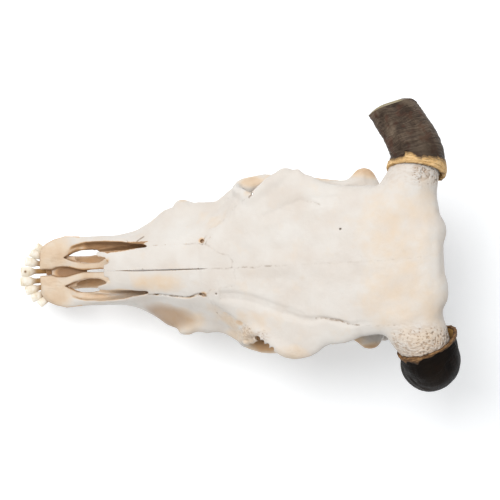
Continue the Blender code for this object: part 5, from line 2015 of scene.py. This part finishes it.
# %% Teeth, horns and bands
ENAMEL = (0.9, 0.86, 0.77, 1)
YELLOW_ENAMEL = (0.8, 0.71, 0.56, 1)
GUM_OCHRE = (0.6, 0.46, 0.26, 1)
NECK_BROWN = (0.4, 0.24, 0.1, 1)
DENTINE = (0.22, 0.12, 0.05, 1)
tooth_look = new_look("tooth_enamel", 0.32)
tooth_clouds = spread(tooth_look, noise(tooth_look, 180, 4), 0.35, 0.7)
tooth_colour = mixed(tooth_look, tooth_clouds, ENAMEL, YELLOW_ENAMEL)
tooth_patches = spread(tooth_look, noise(tooth_look, 95, 3), 0.5, 0.68, 0.0, 0.55)
tooth_colour = mixed(tooth_look, tooth_patches, tooth_colour, GUM_OCHRE)
tooth_colour = mixed(tooth_look, mark(tooth_look, "neck"), tooth_colour, NECK_BROWN)
tooth_colour = mixed(tooth_look, mark(tooth_look, "dentine"), tooth_colour, DENTINE)
finish_with(tooth_look, tooth_colour, noise(tooth_look, 900, 4), 0.0002)

SOCKET_OCHRE = (0.3, 0.17, 0.055, 1)


def horn_look(name, dark, middle, light, red, sawn_colour, gloss):
    """Streaks along the horn and rings round it, from its own places in millimetres."""
    look = new_look(name, 0.5, gloss)
    way = node(look, "Attribute", {}, output="Vector", attribute_name="way")
    bent = node(look, "TexNoise", {"Vector": way, "Scale": 0.06, "Detail": 3.0}, output="Color")
    way = node(look, "VectorMath", {0: bent, 1: (5.0, 5.0, 9.0), 2: way}, operation="MULTIPLY_ADD")
    round_it = node(look, "Mapping", {"Vector": way, "Scale": (0.035, 0.035, 0.55)})
    along = node(look, "Mapping", {"Vector": way, "Scale": (0.6, 0.6, 0.1)})
    rings = noise(look, 1.0, 6, round_it, 0.7)
    streaks = noise(look, 1.0, 4, along, 0.6)
    patches = noise(look, 0.05, 3, way)
    pattern = maths(look, "MULTIPLY_ADD", streaks, 0.25, rings)
    colour = ramp(look, spread(look, pattern, 0.45, 0.8), [(0.0, dark), (0.5, middle), (1.0, light)])
    colour = mixed(look, spread(look, patches, 0.45, 0.65, 0.0, 0.7), colour, dark)
    worn = noise(look, 0.035, 4, way, 0.6)
    colour = mixed(look, spread(look, worn, 0.5, 0.66, 0.0, 0.55), colour, light)
    reddish = noise(look, 0.09, 4, way)
    colour = mixed(look, spread(look, reddish, 0.52, 0.66, 0.0, 0.6), colour, red)
    along_it = node(look, "SeparateXYZ", {"Vector": way}, output=2)
    colour = mixed(look, spread(look, along_it, 48, 8, 0.0, 0.75), colour, dark)
    sawn = mark(look, "sawn")
    colour = mixed(look, spread(look, sawn, 0.0, 0.04), colour, sawn_colour)
    uneven = spread(look, noise(look, 0.2, 4, way), 0.3, 0.7, -0.15, 0.15)
    rim = maths(look, "ADD", sawn, uneven)
    colour = mixed(look, spread(look, rim, 0.74, 0.95, 0.0, 0.85), colour, dark)
    colour = mixed(look, spread(look, sawn, -0.5, -1.0), colour, SOCKET_OCHRE)
    height = maths(look, "MULTIPLY_ADD", streaks, 0.3, rings)
    finish_with(look, colour, height, 0.0009, spread(look, streaks, 0.3, 0.7, 0.45, 0.65))
    return look


def band_look(name, pale, warm, dark):
    """Dry fibres: fine lines that run round the horn, pale on their ridges and dark between."""
    look = new_look(name, 0.7, 0.3)
    way = node(look, "Attribute", {}, output="Vector", attribute_name="way")
    stretched = node(look, "Mapping", {"Vector": way, "Scale": (0.12, 0.12, 0.9)})
    fibres = noise(look, 1.0, 6, stretched, 0.7)
    colour = ramp(look, spread(look, fibres, 0.34, 0.66), [(0.0, dark), (0.4, warm), (1.0, pale)])
    speckles = maths(look, "MULTIPLY_ADD", fibres, 1.6, mark(look, "share"))
    colour = mixed(look, spread(look, speckles, 1.5, 1.72, 0.0, 0.9), colour, dark)
    finish_with(look, colour, fibres, 0.0009)
    return look


LOOKS = {
    "cleaned_bone": bone_look("cleaned_bone"),
    "snout_bone": bone_look("snout_bone", 0.08),
    "jaw_bone": bone_look("jaw_bone", 0.1),
    "teeth": tooth_look,
    "horn_sheath_right": horn_look(
        "brown_horn",
        dark=(0.028, 0.017, 0.011, 1),
        middle=(0.085, 0.058, 0.04, 1),
        light=(0.2, 0.15, 0.105, 1),
        red=(0.075, 0.028, 0.016, 1),
        sawn_colour=(0.27, 0.21, 0.095, 1),
        gloss=0.18,
    ),
    "horn_sheath_left": horn_look(
        "black_horn",
        dark=(0.004, 0.003, 0.0025, 1),
        middle=(0.009, 0.0065, 0.005, 1),
        light=(0.028, 0.018, 0.011, 1),
        red=(0.02, 0.009, 0.005, 1),
        sawn_colour=(0.08, 0.05, 0.03, 1),
        gloss=0.06,
    ),
    "horn_band_right": band_look(
        "tan_fibres",
        pale=(0.86, 0.62, 0.34, 1),
        warm=(0.62, 0.38, 0.15, 1),
        dark=(0.1, 0.06, 0.03, 1),
    ),
    "horn_band_left": band_look(
        "brown_fibres",
        pale=(0.34, 0.19, 0.08, 1),
        warm=(0.11, 0.05, 0.016, 1),
        dark=(0.012, 0.008, 0.006, 1),
    ),
}
print(len(LOOKS), "finishes")

# %% Dress the pieces
for piece, node_name, slot in pieces:
    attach(piece, "root")
    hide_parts(node_name)
    key = "teeth" if "teeth" in piece.name else piece.name if piece.name.startswith("horn") else slot
    piece.data.materials.append(LOOKS[key])
print(len(pieces), "pieces dressed")

# %% [markdown]
# ## Table, light and camera
#
# The skull lies on a white table in a white room. One large soft lamp lights it from the image's top
# left, and the table, lit from beneath like a light table, keeps the shadow pale. The camera looks
# straight down from 2.2 m with a long lens.

# %% Table
TABLE_HALF = 5
corners = [(x * TABLE_HALF, y * TABLE_HALF, 0) for x, y in ((-1, -1), (1, -1), (1, 1), (-1, 1))]
floor_mesh = bpy.data.meshes.new("table")
floor_mesh.from_pydata(corners, [], [(0, 1, 2, 3)])
floor = bpy.data.objects.new("table", floor_mesh)
bpy.context.scene.collection.objects.link(floor)
white = new_look("table_white", 0.9, 0.0)
white_shader = white.node_tree.nodes["Principled BSDF"]
white_shader.inputs["Base Color"].default_value = (0.93, 0.945, 0.96, 1)
# The table glows: light painted into it, like a light table's, which keeps its shadow pale and lights the
# bone from below
white_shader.inputs["Emission Color"].default_value = (0.96, 0.98, 1, 1)
white_shader.inputs["Emission Strength"].default_value = 0.25
floor_mesh.materials.append(white)
print("table", 2 * TABLE_HALF, "m wide")


# %% Light
LAMP_PLACE, LAMP_AIM = Vector((-0.55, 0.7, 2.4)), Vector((0, 0, 0.1))
lamp = bpy.data.lights.new("key", "AREA")
lamp.shape = "DISK"
lamp.size = 1.4
lamp.energy = 49
holder = bpy.data.objects.new("key", lamp)
holder.location = LAMP_PLACE
holder.rotation_euler = (LAMP_AIM - LAMP_PLACE).to_track_quat("-Z", "Y").to_euler()
bpy.context.scene.collection.objects.link(holder)
world = bpy.data.worlds.new("studio")
world.use_nodes = True
world.node_tree.nodes["Background"].inputs["Color"].default_value = (1, 1, 1, 1)
world.node_tree.nodes["Background"].inputs["Strength"].default_value = 0.5
bpy.context.scene.world = world
bpy.context.scene.view_settings.view_transform = "Standard"
print("lamp", lamp.energy, "W")

# %% Camera
VIEW_CENTRE = (295, 19.1)  # the place on the table under the camera
VIEW_HEIGHT, LENS, SENSOR = 2.2, 117, 36
VIEW_TURN = math.radians(-2.2)
camera = bpy.data.cameras.new("camera")
camera.lens = LENS
camera.sensor_width = SENSOR
eye = bpy.data.objects.new("camera", camera)
eye.location = (VIEW_CENTRE[0] * MM + SHIFT[0], VIEW_CENTRE[1] * MM + SHIFT[1], VIEW_HEIGHT)
eye.rotation_euler = (0, 0, VIEW_TURN)
bpy.context.scene.collection.objects.link(eye)
bpy.context.scene.camera = eye
print("camera at", tuple(eye.location))
